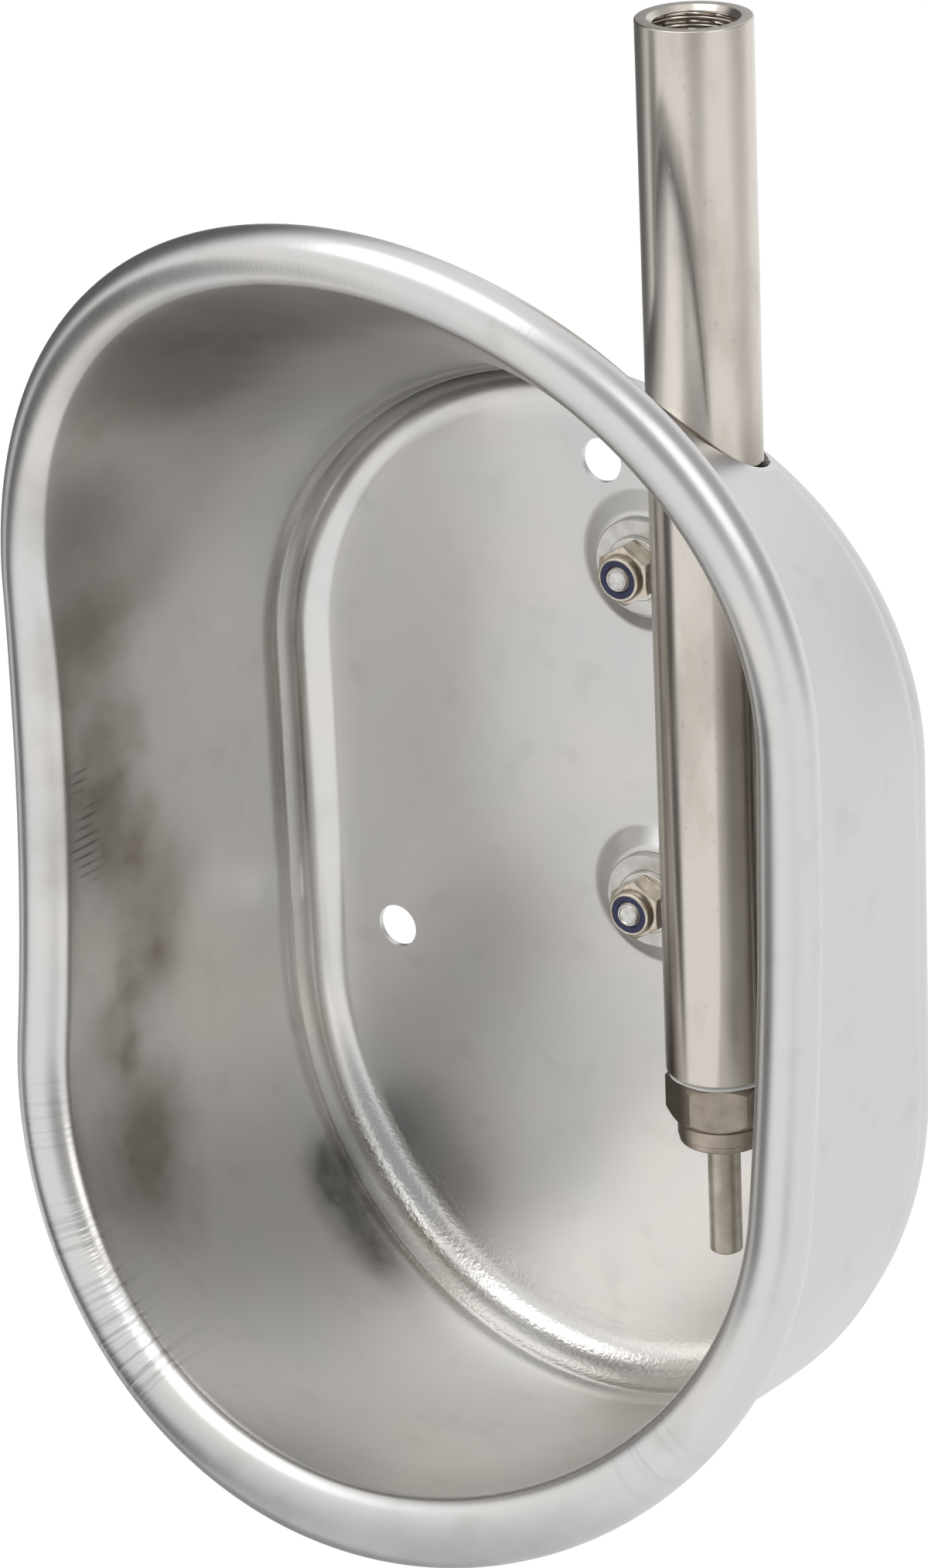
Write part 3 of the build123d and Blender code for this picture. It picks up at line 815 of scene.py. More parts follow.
def on_bolts(name, bm, material):
    """Two copies of a fastener, one on each bolt, made into one piece."""
    bmesh.ops.remove_doubles(bm, verts=bm.verts, dist=MERGE_DISTANCE)
    bmesh.ops.recalc_face_normals(bm, faces=bm.faces)
    pattern = bpy.data.meshes.new(name + "_pattern")
    bm.to_mesh(pattern)
    bm.free()
    pattern_object = new_object(name + "_pattern", pattern)
    sizes = {"bolts": 2, "bolt_x": BOLT_X, "lower_bolt": LOWER_BOLT_Z, "bolt_pitch": BOLT_PITCH}
    shape = Shape(name.capitalize(), **sizes)
    start = shape.node("ShaderNodeCombineXYZ", {
        "X": shape.size("bolt_x"), "Z": shape.size("lower_bolt"),
    })
    step = shape.node("ShaderNodeCombineXYZ", {"Z": shape.size("bolt_pitch")})
    places = shape.node("GeometryNodeMeshLine", {
        "Count": shape.size("bolts"), "Start Location": start.outputs[0], "Offset": step.outputs[0],
    })
    fastener = shape.node("GeometryNodeObjectInfo", {"Object": pattern_object})
    copies = shape.node("GeometryNodeInstanceOnPoints", {
        "Points": places.outputs[0],
        "Instance": fastener.outputs["Geometry"],
        "Rotation": (pi / 2, 0.0, 0.0),
    })
    mesh = shape.finish(copies.outputs[0], material, name)
    bpy.data.objects.remove(pattern_object)
    smooth(mesh)
    return new_object(name, mesh)


def make_bolts(material):
    """M8 bolts with low domed heads in the hollows of the bosses."""
    half = BOLT_SIZE / 2
    head = HEAD_WIDTH / 2
    foot = BOSS_HEIGHT - HEAD_HEIGHT
    tip = NUT_FACE + NUT_HEIGHT + BOLT_STAND_OUT
    dish = 0.25 * MM
    profile = [(0.0, foot)]
    profile += rounded((head, foot), (0.0, foot), (head, BOSS_HEIGHT), HEAD_ROUNDING, 8)
    profile += [(head, BOSS_HEIGHT), (half, BOSS_HEIGHT)]
    profile += [(half, tip - TAPER_LENGTH), (half - BOLT_TAPER, tip - dish)]
    profile += [(half - BOLT_TAPER - dish, tip), (half - BOLT_TAPER - 2 * dish, tip)]
    profile += [(half - BOLT_TAPER - 3 * dish, tip - dish), (0.0, tip - dish)]
    bm = bmesh.new()
    turned(bm, profile, (0.0, 0.0), HOLE_STEPS)
    return on_bolts("bolts", bm, material)


def make_washers(material):
    """Plain washers with one rounded edge, as punched."""
    inner = BOLT_HOLE / 2
    outer = WASHER_WIDTH / 2
    edge = 0.4 * MM
    profile = [(inner, LUG_FACE), (outer - edge / 2, LUG_FACE), (outer, LUG_FACE + edge / 2)]
    profile += rounded((outer, NUT_FACE), (outer, LUG_FACE), (inner, NUT_FACE), edge)
    profile += [(inner + edge, NUT_FACE), (inner, NUT_FACE - edge), (inner, LUG_FACE)]
    bm = bmesh.new()
    turned(bm, profile, (0.0, 0.0), HOLE_STEPS)
    return on_bolts("washers", bm, material)


def make_nuts(material):
    """Lock nuts: a bevelled hexagon and a collar rolled in over the lock ring."""
    ring = hexagon_ring(NUT_FLATS, 0.3 * MM)
    meets = NUT_FLATS / 2 - 0.1 * MM
    top = NUT_FACE + NUT_HEX_HEIGHT
    crown = NUT_FACE + NUT_HEIGHT
    collar = NUT_COLLAR / 2
    seat = LOCK_RING_WIDTH / 2
    rows = [round_ring(ring, BOLT_SIZE / 2, NUT_FACE)]
    rows += hex_band(ring, NUT_FACE, top, (meets, BEVEL_SLOPE), (meets, BEVEL_SLOPE))
    neck = (collar + 0.1 * MM, top)
    profile = [neck, (collar, top + 0.25 * MM)]
    profile += rounded((collar, crown), (collar, top), (seat, crown), 0.7 * MM)
    profile += rounded((seat, crown), (collar, crown), (seat, NUT_FACE), 0.2 * MM)
    profile += [(seat, crown - LOCK_RING_HEIGHT), (BOLT_SIZE / 2, crown - LOCK_RING_HEIGHT)]
    rows += [round_ring(ring, radius, height) for radius, height in profile]
    rows.append(rows[0])
    bm = bmesh.new()
    bridge(bm, rows)
    return on_bolts("nuts", bm, material)


def make_lock_rings(material):
    """Nylon rings that grip the bolts inside the collars of the nuts."""
    inner = BOLT_SIZE / 2
    outer = LOCK_RING_WIDTH / 2
    top = NUT_FACE + NUT_HEIGHT - LOCK_RING_SINK
    foot = top + LOCK_RING_SINK - LOCK_RING_HEIGHT
    lip = inner - 0.9 * MM
    profile = [(inner, foot), (outer, foot), (outer, top)]
    profile += rounded((lip, top), (outer, top), (inner, foot), 0.25 * MM)
    profile.append((inner, foot))
    bm = bmesh.new()
    turned(bm, profile, (0.0, 0.0), HOLE_STEPS)
    return on_bolts("lock_rings", bm, material)


def make_lugs(material):
    """Flat lugs with a round end for the bolt, softened along their edges."""
    half = LUG_WIDTH / 2
    soft = 0.3 * MM
    corner = 3.0 * MM
    rows = []
    for inset, height in (
        (soft, SEAT_FACE), (0.0, SEAT_FACE + soft), (0.0, LUG_FACE - soft), (soft, LUG_FACE),
    ):
        r = half - inset
        end = LUG_REACH - inset
        outline = [(r * cos(t), r * sin(t)) for t in (pi / 2 + pi * k / 36 for k in range(37))]
        outline += rounded((end, -r), (0.0, -r), (end, r), corner, 6)
        outline += rounded((end, r), (end, -r), (0.0, r), corner, 6)
        rows.append([(x, y, height) for x, y in outline])
    count = len(rows[0])
    hole = [(x, y) for x, y in circle(0.0, 0.0, BOLT_HOLE / 2, count)]
    hole = hole[count // 4:] + hole[:count // 4]
    low = [(x, y, SEAT_FACE) for x, y in hole]
    high = [(x, y, LUG_FACE) for x, y in hole]
    bm = bmesh.new()
    bridge(bm, [low] + rows + [high, low])
    return on_bolts("lugs", bm, material)


def make_welds(material):
    """Rippled weld beads along both sides of the tube, two on each lug."""
    length = LUG_WIDTH - 2 * LUG_END - WELD_RADIUS
    shape = Shape(
        "Weld beads",
        ripples=WELD_RIPPLES,
        weld_radius=WELD_RADIUS,
        weld_length=length,
        off_axis=WELD_OFF_AXIS,
        bolt_pitch=BOLT_PITCH,
        seed=4,
    )
    size = shape.size
    total = size("ripples") * 4
    line = shape.node("GeometryNodeMeshLine", {"Count": total})
    number = shape.field("GeometryNodeInputIndex")
    bead = (number / size("ripples")).math("FLOOR")
    along_bead = (number - bead * size("ripples")) / (size("ripples") - 1.0) - 0.5
    on_right = bead - (bead / 2.0).math("FLOOR") * 2.0
    on_top = (bead / 2.0).math("FLOOR")
    shifted = shape.bend(
        line.outputs[0],
        (on_right * 2.0 - 1.0) * size("off_axis") + TUBE_X,
        0.0 - size("weld_radius") * WELD_SINK - LUG_FACE,
        on_top * size("bolt_pitch") + along_bead * size("weld_length") + LOWER_BOLT_Z,
    )
    swell = shape.node("FunctionNodeRandomValue", {"Seed": size("seed")}, data_type="FLOAT")
    for place, value in zip(swell.inputs[2:4], WELD_SWELL):
        plug(shape.tree, value, place)
    ripple = shape.node("GeometryNodeMeshUVSphere", {
        "Segments": 20, "Rings": 12, "Radius": size("weld_radius"),
    })
    copies = shape.node("GeometryNodeInstanceOnPoints", {
        "Points": shifted, "Instance": ripple.outputs[0], "Scale": swell.outputs[1],
    })
    mesh = shape.finish(copies.outputs[0], material, "lug_welds")
    smooth(mesh)
    return new_object("lug_welds", mesh)


# ---- nipple valve ----

def make_nipple(material):
    """Threaded stem, bevelled hexagon and stepped collar, with the bores inside."""
    ring = hexagon_ring(HEX_FLATS, 0.5 * MM, HEX_TURN)
    axis = Vector((TUBE_X, -TUBE_DEPTH, 0))
    stem = TAPPED_BORE / 2 - 0.05 * MM
    collar = COLLAR_WIDTH / 2
    step = 0.35 * MM
    slant = 0.3 * MM
    flat = HEX_FLATS / 2
    profile = [
        (CHAMBER_BORE / 2, STEM_TOP_Z),
        (CHAMBER_BORE / 2, SEAT_Z),
        (SEAT_BORE / 2, SEAT_Z),
        (SEAT_BORE / 2, SEAT_Z - SEAT_LIP),
        (MOUTH_BORE / 2, SEAT_Z - SEAT_LIP),
        (MOUTH_BORE / 2, COLLAR_FOOT_Z + step),
        (MOUTH_BORE / 2 + step, COLLAR_FOOT_Z),
    ]
    lower_edge = (collar - step, COLLAR_FOOT_Z)
    profile += rounded(lower_edge, (MOUTH_BORE / 2, COLLAR_FOOT_Z), (collar - step, HEX_FOOT_Z), 0.5 * MM)
    profile += [
        (collar - step, COLLAR_FOOT_Z + COLLAR_STEP_HEIGHT),
        (collar, COLLAR_FOOT_Z + COLLAR_STEP_HEIGHT + slant),
        (collar, HEX_FOOT_Z - NECK_HEIGHT - slant),
        (collar - step, HEX_FOOT_Z - NECK_HEIGHT),
        (collar - step, HEX_FOOT_Z - slant / 2),
        (flat - 0.5 * MM, HEX_FOOT_Z),
    ]
    rows = [round_ring(ring, radius, height) for radius, height in profile]
    rows += hex_band(ring, HEX_FOOT_Z, HEX_TOP_Z, (flat - 0.1 * MM, 1.0), (flat - 0.2 * MM, BEVEL_SLOPE))
    rows += [round_ring(ring, radius, height) for radius, height in (
        (stem, HEX_TOP_Z), (stem, STEM_TOP_Z - step), (stem - step, STEM_TOP_Z))]
    rows.append(rows[0])
    bm = bmesh.new()
    bridge(bm, [[tuple(Vector(p) + axis) for p in row] for row in rows])
    return finish_bm(bm, "nipple", material, 25.0)


def make_tape(material):
    """Thread tape squeezed out unevenly round the joint."""
    shape = Shape(
        "Squeezed thread tape",
        inner=TAPPED_BORE / 2,
        outer=TAPE_WIDTH / 2,
        middle=(HEX_TOP_Z + TUBE_FOOT_Z) / 2,
        half_height=TAPE_HEIGHT / 2,
        unevenness=0.45 * MM,
        seed=7.0,
    )
    size = shape.size
    grid, along, up = shape.grid(TAPE_STEPS[0] + 1, TAPE_STEPS[1] + 1)
    turn = along * (2 * pi)
    round_section = up * (2 * pi)

    def ragged(offset, detail):
        around = shape.node("ShaderNodeCombineXYZ", {
            "X": turn.cos() * 2.2, "Y": turn.sin() * 2.2, "Z": size("seed") + offset,
        })
        inputs = {"Vector": around.outputs[0], "Scale": 1.0, "Detail": detail}
        return shape.field("ShaderNodeTexNoise", inputs) - 0.5

    bulge = size("outer") + ragged(0.0, 4.0) * size("unevenness") * 2.0
    thick = size("half_height") * 1.25 + ragged(5.0, 5.0) * size("unevenness")
    lift = ragged(9.0, 2.0) * size("unevenness")
    middle_radius = (bulge + size("inner")) * 0.5
    half_width = (bulge - size("inner")) * 0.5
    radius = middle_radius + round_section.cos() * half_width
    height = size("middle") + lift * round_section.cos().ramp(0.0, 1.0) + round_section.sin() * thick
    bent = shape.bend(grid, radius * turn.cos() + TUBE_X, radius * turn.sin() - TUBE_DEPTH, height)
    bm = bmesh.new()
    bm.from_mesh(shape.finish(shape.weld(bent, MERGE_DISTANCE / 2), material, "thread_tape"))
    return finish_bm(bm, "thread_tape", material, 60.0)


def make_pin(material):
    """Pin with a flat head in the valve and a faintly pointed tip."""
    half = PIN_WIDTH / 2
    head = PIN_HEAD / 2
    profile = [(0.0, PIN_TIP_Z), (half - PIN_TIP_EDGE, PIN_TIP_Z + PIN_TIP_CONE)]
    shoulder = (half, PIN_TIP_Z + PIN_TIP_EDGE)
    profile += rounded(shoulder, profile[-1], (half, HEAD_FOOT_Z), 0.4 * MM)
    profile += [
        (half, HEAD_FOOT_Z),
        (head - PIN_HEAD_EDGE, HEAD_FOOT_Z),
        (head, HEAD_FOOT_Z + PIN_HEAD_EDGE),
        (head, HEAD_TOP_Z - PIN_HEAD_EDGE),
        (head - PIN_HEAD_EDGE, HEAD_TOP_Z),
        (0.0, HEAD_TOP_Z),
    ]
    bm = bmesh.new()
    turned(bm, profile, steps=PIN_STEPS)
    return finish_bm(bm, "pin", material)


# ---- finishes ----

class Finish:
    """A material whose patterns lie on the piece's own coordinates."""

    def __init__(self, name, colour, metallic=1.0, roughness=0.3):
        self.material = bpy.data.materials.new(name)
        self.material.use_nodes = True
        self.tree = self.material.node_tree
        self.shader = self.tree.nodes["Principled BSDF"]
        self.shader.inputs["Base Color"].default_value = (*colour, 1)
        self.shader.inputs["Metallic"].default_value = metallic
        self.shader.inputs["Roughness"].default_value = roughness
        self.place = self.tree.nodes.new("ShaderNodeTexCoord").outputs["Object"]
        parts = node(self.tree, "ShaderNodeSeparateXYZ", {"Vector": self.place})
        self.x, self.y, self.z = (Field(self.tree, socket) for socket in parts.outputs)

    def noise(self, patch, stretch=(1.0, 1.0, 1.0), detail=3.0, shift=0.0):
        """Cloudy noise from 0 to 1 whose patches have about the given size."""
        mapped = node(self.tree, "ShaderNodeMapping", {
            "Vector": self.place,
            "Location": (shift, shift, shift),
            "Scale": tuple(1 / (patch * length) for length in stretch),
        })
        made = node(self.tree, "ShaderNodeTexNoise", {
            "Vector": mapped.outputs[0], "Scale": 1.0, "Detail": detail,
        })
        return Field(self.tree, made.outputs[0])

    def attribute(self, name):
        return Field(self.tree, node(self.tree, "ShaderNodeAttribute", attribute_name=name).outputs["Fac"])

    def blend(self, share, one, two):
        """Colour that goes from one to two with a share from 0 to 1."""
        made = node(self.tree, "ShaderNodeMix", data_type="RGBA")
        for place, value in ((0, share), (6, one), (7, two)):
            plug(self.tree, (*value, 1) if isinstance(value, tuple) else value, made.inputs[place])
        return made.outputs[2]

    def set(self, key, value):
        plug(self.tree, value, self.shader.inputs[key])

    def relief(self, height):
        """Bump whose height is in metres."""
        made = node(self.tree, "ShaderNodeBump", {"Height": height, "Strength": 1.0, "Distance": 1.0})
        self.set("Normal", made.outputs[0])


def spot(finish, centre, radius, softness, wobble):
    """Soft uneven blot round a place, 1 in its middle."""
    gaps = [here - there for here, there in zip((finish.x, finish.y, finish.z), centre)]
    reach = (gaps[0] ** 2.0 + gaps[1] ** 2.0 + gaps[2] ** 2.0) ** 0.5
    return (reach + wobble).ramp(radius + softness, radius - softness)


# Marks on the bowl: place and radius in metres, and strength
WATER_MARKS = (
    ((-0.096, -0.081, 0.100), 0.010, 0.80),
    ((-0.096, -0.080, 0.072), 0.009, 0.80),
    ((-0.096, -0.081, 0.052), 0.013, 0.95),
    ((-0.095, -0.066, 0.030), 0.014, 0.60),
    ((-0.095, -0.066, 0.010), 0.008, 0.85),
    ((-0.096, -0.084, -0.004), 0.009, 0.80),
    ((-0.092, -0.077, -0.027), 0.014, 0.90),
    ((-0.086, -0.085, -0.042), 0.012, 0.70),
    ((-0.060, -0.086, 0.172), 0.022, 0.55),
    ((-0.032, -0.092, 0.190), 0.018, 0.55),
    ((-0.090, -0.086, 0.135), 0.012, 0.60),
    ((-0.091, -0.061, 0.110), 0.005, 0.35),
)
# Dark soft patches along the lower left fillet: place and radius in metres, and strength
FILLET_DARK_PATCHES = (
    ((-0.0768, -0.017, -0.061), 0.006, 0.90),
    ((-0.0742, -0.022, -0.066), 0.007, 1.00),
    ((-0.0660, -0.022, -0.077), 0.006, 0.90),
    ((-0.0590, -0.022, -0.084), 0.004, 0.60),
)
# Where the press and the rolling tool have left lines across the rim
DRAW_MARKS = (
    ((-0.084, -0.108, -0.046), 0.013, 0.6),
    ((-0.066, -0.113, -0.064), 0.015, 0.9),
    ((0.078, -0.115, -0.058), 0.010, 0.3),
    ((-0.096, -0.102, -0.020), 0.012, 0.35),
)
# Where short dark lines lie one above the other beside the left rim
SCUFFS = (
    ((-0.0960, -0.087, 0.066), 0.004, 0.7),
    ((-0.0960, -0.088, 0.058), 0.005, 0.8),
    ((-0.0960, -0.088, 0.049), 0.005, 0.8),
    ((-0.0960, -0.087, 0.042), 0.004, 0.6),
)


def spots(finish, places, softness, wobble):
    """All the blots of a list as one share from 0 to 1."""
    total = finish.x * 0.0
    for place, radius, strength in places:
        total = total + spot(finish, place, radius, softness, wobble) * strength
    return total.clamp()


# Side of the tube and its hexagon where the painted shade is darkest
PAINTED_SHADE_AZIMUTH = 115


def bowl_steel():
    """Satin sheet with water marks, dark patches along the lower left fillet, draw marks, scuffs and orange
    peel in its back bend, with painted shade on the lower lip and a painted cool reflection outside.
    """
    finish = Finish("satin drawn steel", (0.66, 0.655, 0.645), roughness=0.33)
    section = finish.attribute("section")
    outside = finish.attribute("outside")
    inside = 1.0 - outside
    around = node(finish.tree, "ShaderNodeCombineXYZ", {
        "X": finish.attribute("round_x"), "Y": finish.attribute("round_z"), "Z": section * 0.003,
    })

    def along_rim(patch, detail):
        made = node(finish.tree, "ShaderNodeTexNoise", {
            "Vector": around.outputs[0], "Scale": 1 / patch, "Detail": detail,
        })
        return Field(finish.tree, made.outputs[0])

    clouds = finish.noise(38 * MM, detail=4.0)
    blotches = finish.noise(12 * MM, detail=2.0, shift=3.0)
    smears = finish.noise(5 * MM, detail=4.0, shift=9.0)
    wobble = (blotches - 0.5) * (14 * MM) + (clouds - 0.5) * (12 * MM)
    marks = spots(finish, WATER_MARKS, 12 * MM, wobble) * inside
    fillet_dark = spots(finish, FILLET_DARK_PATCHES, 10 * MM, wobble * 0.5) * inside
    pressed = spots(finish, DRAW_MARKS, 7 * MM, wobble * 0.2)
    scuffed = spots(finish, SCUFFS, 2 * MM, wobble * 0.2) * inside
    on_roll = section.ramp(0.53, 0.57)
    on_wall = section.ramp(0.36, 0.46) * (1.0 - on_roll)
    ripples = along_rim(1.7 * MM, 1.0)
    fine_ticks = along_rim(0.9 * MM, 2.0)
    rows = (finish.z * (2 * pi / (2.4 * MM)) + blotches * 0.6).sin().ramp(0.2, 0.9)
    broken = finish.noise(9.0 * MM, detail=0.0, shift=7.0).ramp(0.36, 0.60)
    across_lines = finish.noise(0.7 * MM, (1.0, 45.0, 1.0), 2.0)
    rolled_lines = finish.noise(0.5 * MM, (1.0, 1.0, 60.0), 2.0)

    # The inside takes a warm tone; the outside and the roll take a cooler, darker tone, a painted reflection
    # of the room
    warm = finish.blend(clouds.ramp(0.3, 0.7), (0.715, 0.690, 0.665), (0.690, 0.690, 0.680))
    cool_reflection_tint = finish.blend(clouds.ramp(0.3, 0.7), (0.650, 0.655, 0.672), (0.675, 0.665, 0.670))
    tint = finish.blend((outside + section.ramp(0.60, 0.75) * 0.6).clamp(), warm, cool_reflection_tint)
    smudged = finish.blend(blotches.ramp(0.55, 0.78) * 0.20, tint, (0.43, 0.42, 0.40))
    stained = finish.blend(marks * (0.58 + smears * 0.3), smudged, (0.235, 0.200, 0.160))
    # Darkens the soft patches along the lower left fillet
    fillet_darkened = finish.blend(fillet_dark * (0.50 + smears * 0.5), stained, (0.095, 0.095, 0.088))
    # Painted shade: the outer half of the lower lip, darker towards the bottom
    painted_lip_shade = section.ramp(0.62, 0.70) * finish.z.ramp(-0.055, -0.092) * (0.45 + blotches * 0.5)
    lip_shaded = finish.blend(painted_lip_shade, fillet_darkened, (0.36, 0.36, 0.35))
    scuffs = finish.blend(scuffed * rows * broken * 0.60, lip_shaded, (0.03, 0.028, 0.024))
    lines = pressed * ripples.ramp(0.52, 0.66) * (on_wall * 0.10 + on_roll * 0.40)
    finish.set("Base Color", finish.blend(lines, scuffs, (0.15, 0.15, 0.15)))

    fillet = section.ramp(0.0, 0.03) * section.ramp(0.30, 0.16) * inside
    rough = 0.33 + (clouds - 0.5) * 0.14 - fillet * 0.14 + marks * 0.08 + (rolled_lines - 0.5) * 0.05
    finish.set("Roughness", rough - on_roll * 0.05)

    peel_zone = fillet * finish.z.ramp(-0.03, -0.07)
    peel = finish.noise(1.0 * MM, detail=2.0, shift=8.0)
    grain = finish.noise(0.35 * MM, detail=2.0, shift=5.0)
    waves = finish.noise(26 * MM, detail=1.0, shift=1.0)
    height = grain * (4 * MICRON) + waves * (160 * MICRON) + peel * peel_zone * (120 * MICRON)
    height = height + ripples * pressed * (on_roll * (220 * MICRON) + on_wall * (15 * MICRON))
    height = height + fine_ticks * on_roll * (12 * MICRON)
    height = height + across_lines * on_wall * (5 * MICRON) + rolled_lines * (3 * MICRON)
    finish.relief(height)
    return finish.material


def toward_painted_shade(finish, radius):
    """1 on the tube's right-hand side turned to the wall, -1 on the opposite side."""
    side = heading(PAINTED_SHADE_AZIMUTH, 0)
    return ((finish.x - TUBE_X) * side.x + (finish.y + TUBE_DEPTH) * side.y) / radius


def tube_steel():
    """Polished tube, drawn along its length, with dull smudges and dark painted shade on its sides."""
    finish = Finish("polished tube steel", (0.65, 0.60, 0.545), roughness=0.2)
    lines = finish.noise(0.45 * MM, (1.0, 1.0, 90.0), 2.0)
    smudges = finish.noise(14 * MM, (1.0, 1.0, 2.5), 5.0)
    specks = finish.noise(1.6 * MM, (1.0, 1.0, 1.6), 2.0, 4.0).ramp(0.64, 0.76)
    dull = smudges.ramp(0.45, 0.75)
    tint = finish.blend(dull * 0.6 + specks * 0.25, (0.66, 0.615, 0.56), (0.46, 0.41, 0.36))
    facing = toward_painted_shade(finish, TUBE_WIDTH / 2)
    # Painted shade: dark brown on the side turned to the wall below the hood, and on the opposite side
    # towards the foot
    painted_shade = facing.ramp(0.55, 0.88) * finish.z.ramp(0.175, 0.125)
    painted_shade = (painted_shade + (facing * -1.0).ramp(0.50, 0.90) * finish.z.ramp(0.050, -0.010)).clamp()
    finish.set("Base Color", finish.blend(painted_shade * (0.66 + smudges * 0.5), tint, (0.070, 0.052, 0.032)))
    finish.set("Roughness", 0.16 + dull * 0.1 + (lines - 0.5) * 0.08 + specks * 0.1)
    waves = finish.noise(22 * MM, (1.0, 1.0, 2.0), 1.0)
    finish.relief(lines * (3 * MICRON) + waves * (90 * MICRON) + specks * (-4 * MICRON))
    return finish.material


def blasted_steel():
    """Warm steel of the nipple, pitted on its hexagon, with painted shade on its two sides."""
    finish = Finish("pitted nipple steel", (0.52, 0.46, 0.385), roughness=0.42)
    pits = finish.noise(0.55 * MM, detail=4.0)
    patches = finish.noise(3.5 * MM, detail=4.0, shift=2.0)
    on_hex = finish.z.ramp(HEX_FOOT_Z - 0.0004, HEX_FOOT_Z + 0.0004)
    turning = (finish.z * (2 * pi / (0.28 * MM))).sin()
    facing = toward_painted_shade(finish, HEX_FLATS / 2)
    clean = finish.blend(patches.ramp(0.3, 0.8), (0.54, 0.475, 0.40), (0.43, 0.37, 0.305))
    # Painted shade: the sides towards the wall and away from it are darkened
    tint = finish.blend((facing * facing).ramp(0.15, 0.65) * 0.85, clean, (0.085, 0.068, 0.050))
    finish.set("Base Color", finish.blend(pits.ramp(0.6, 0.8) * on_hex * 0.6, tint, (0.17, 0.14, 0.115)))
    finish.set("Roughness", 0.3 + patches * 0.16 + on_hex * 0.06)
    finish.relief(pits * (40 * MICRON) * (0.25 + on_hex * 0.75) + turning * (1.0 - on_hex) * (3 * MICRON))
    return finish.material


def turned_steel(name, light, dark, patch, rough, ring_pitch):
    """Turned steel with fine tool rings, patchy in tone."""
    finish = Finish(name, light, roughness=rough)
    patches = finish.noise(patch, detail=4.0)
    grain = finish.noise(0.3 * MM, detail=2.0, shift=6.0)
    rings = (finish.z * (2 * pi / ring_pitch)).sin()
    finish.set("Base Color", finish.blend(patches.ramp(0.35, 0.7), light, dark))
    finish.set("Roughness", rough - 0.06 + patches * 0.14)
    finish.relief(grain * (1.5 * MICRON) + rings * (0.6 * MICRON))
    return finish.material


def plated_steel(name, light, dark, patch, rough):
    """Smooth steel of a fastener or lug, patchy in tone and finely scratched."""
    finish = Finish(name, light, roughness=rough)
    patches = finish.noise(patch, detail=4.0)
    scratches = finish.noise(0.25 * MM, (9.0, 1.0, 2.0), 2.0, 6.0)
    finish.set("Base Color", finish.blend(patches.ramp(0.35, 0.7), light, dark))
    finish.set("Roughness", rough - 0.05 + patches * 0.12)
    finish.relief(scratches * (1.2 * MICRON))
    return finish.material


def weld_steel():
    """Weld metal with straw and blue heat colours."""
    finish = Finish("heat-tinted weld steel", (0.5, 0.45, 0.38), roughness=0.35)
    heat = finish.noise(2.5 * MM, detail=3.0)
    straw = finish.blend(heat.ramp(0.3, 0.55), (0.56, 0.50, 0.42), (0.46, 0.36, 0.24))
    finish.set("Base Color", finish.blend(heat.ramp(0.55, 0.8), straw, (0.25, 0.27, 0.34)))
    finish.set("Roughness", 0.28 + heat * 0.16)
    finish.relief(finish.noise(0.4 * MM, detail=2.0, shift=3.0) * (5 * MICRON))
    return finish.material


def moulded(name, colour, shade, rough, patch):
    """Nylon, acetal or rubber with a faint moulded grain."""
    finish = Finish(name, colour, metallic=0.0, roughness=rough)
    grain = finish.noise(0.3 * MM, detail=2.0)
    patches = finish.noise(patch, detail=3.0, shift=2.0)
    finish.set("Base Color", finish.blend(patches.ramp(0.3, 0.7), colour, shade))
    finish.set("Roughness", rough - 0.04 + patches * 0.08)
    finish.relief(grain * (3 * MICRON))
    return finish.material


def tape_white():
    """Stretched white thread tape with fine creases round the joint."""
    finish = Finish("white thread tape", (0.86, 0.85, 0.83), metallic=0.0, roughness=0.7)
    creases = finish.noise(0.5 * MM, (4.0, 4.0, 0.5), 3.0)
    patches = finish.noise(3 * MM, detail=3.0, shift=5.0)
    finish.set("Base Color", finish.blend(patches.ramp(0.45, 0.75), (0.88, 0.875, 0.86), (0.68, 0.66, 0.63)))
    finish.relief(creases * (45 * MICRON))
    return finish.material


# ---- putting the object together ----

def dress(piece, body, slot, *nodes):
    """Hands a finished piece over in place of the CAD nodes that it shows."""
    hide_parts(*nodes)
    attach(piece, body)


def both(kind):
    return "upper_" + kind, "lower_" + kind


def dress_solid(name, material):
    """Gives a CAD node that stays as it is its finish."""
    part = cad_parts[name]
    part.data.materials.clear()
    part.data.materials.append(material)


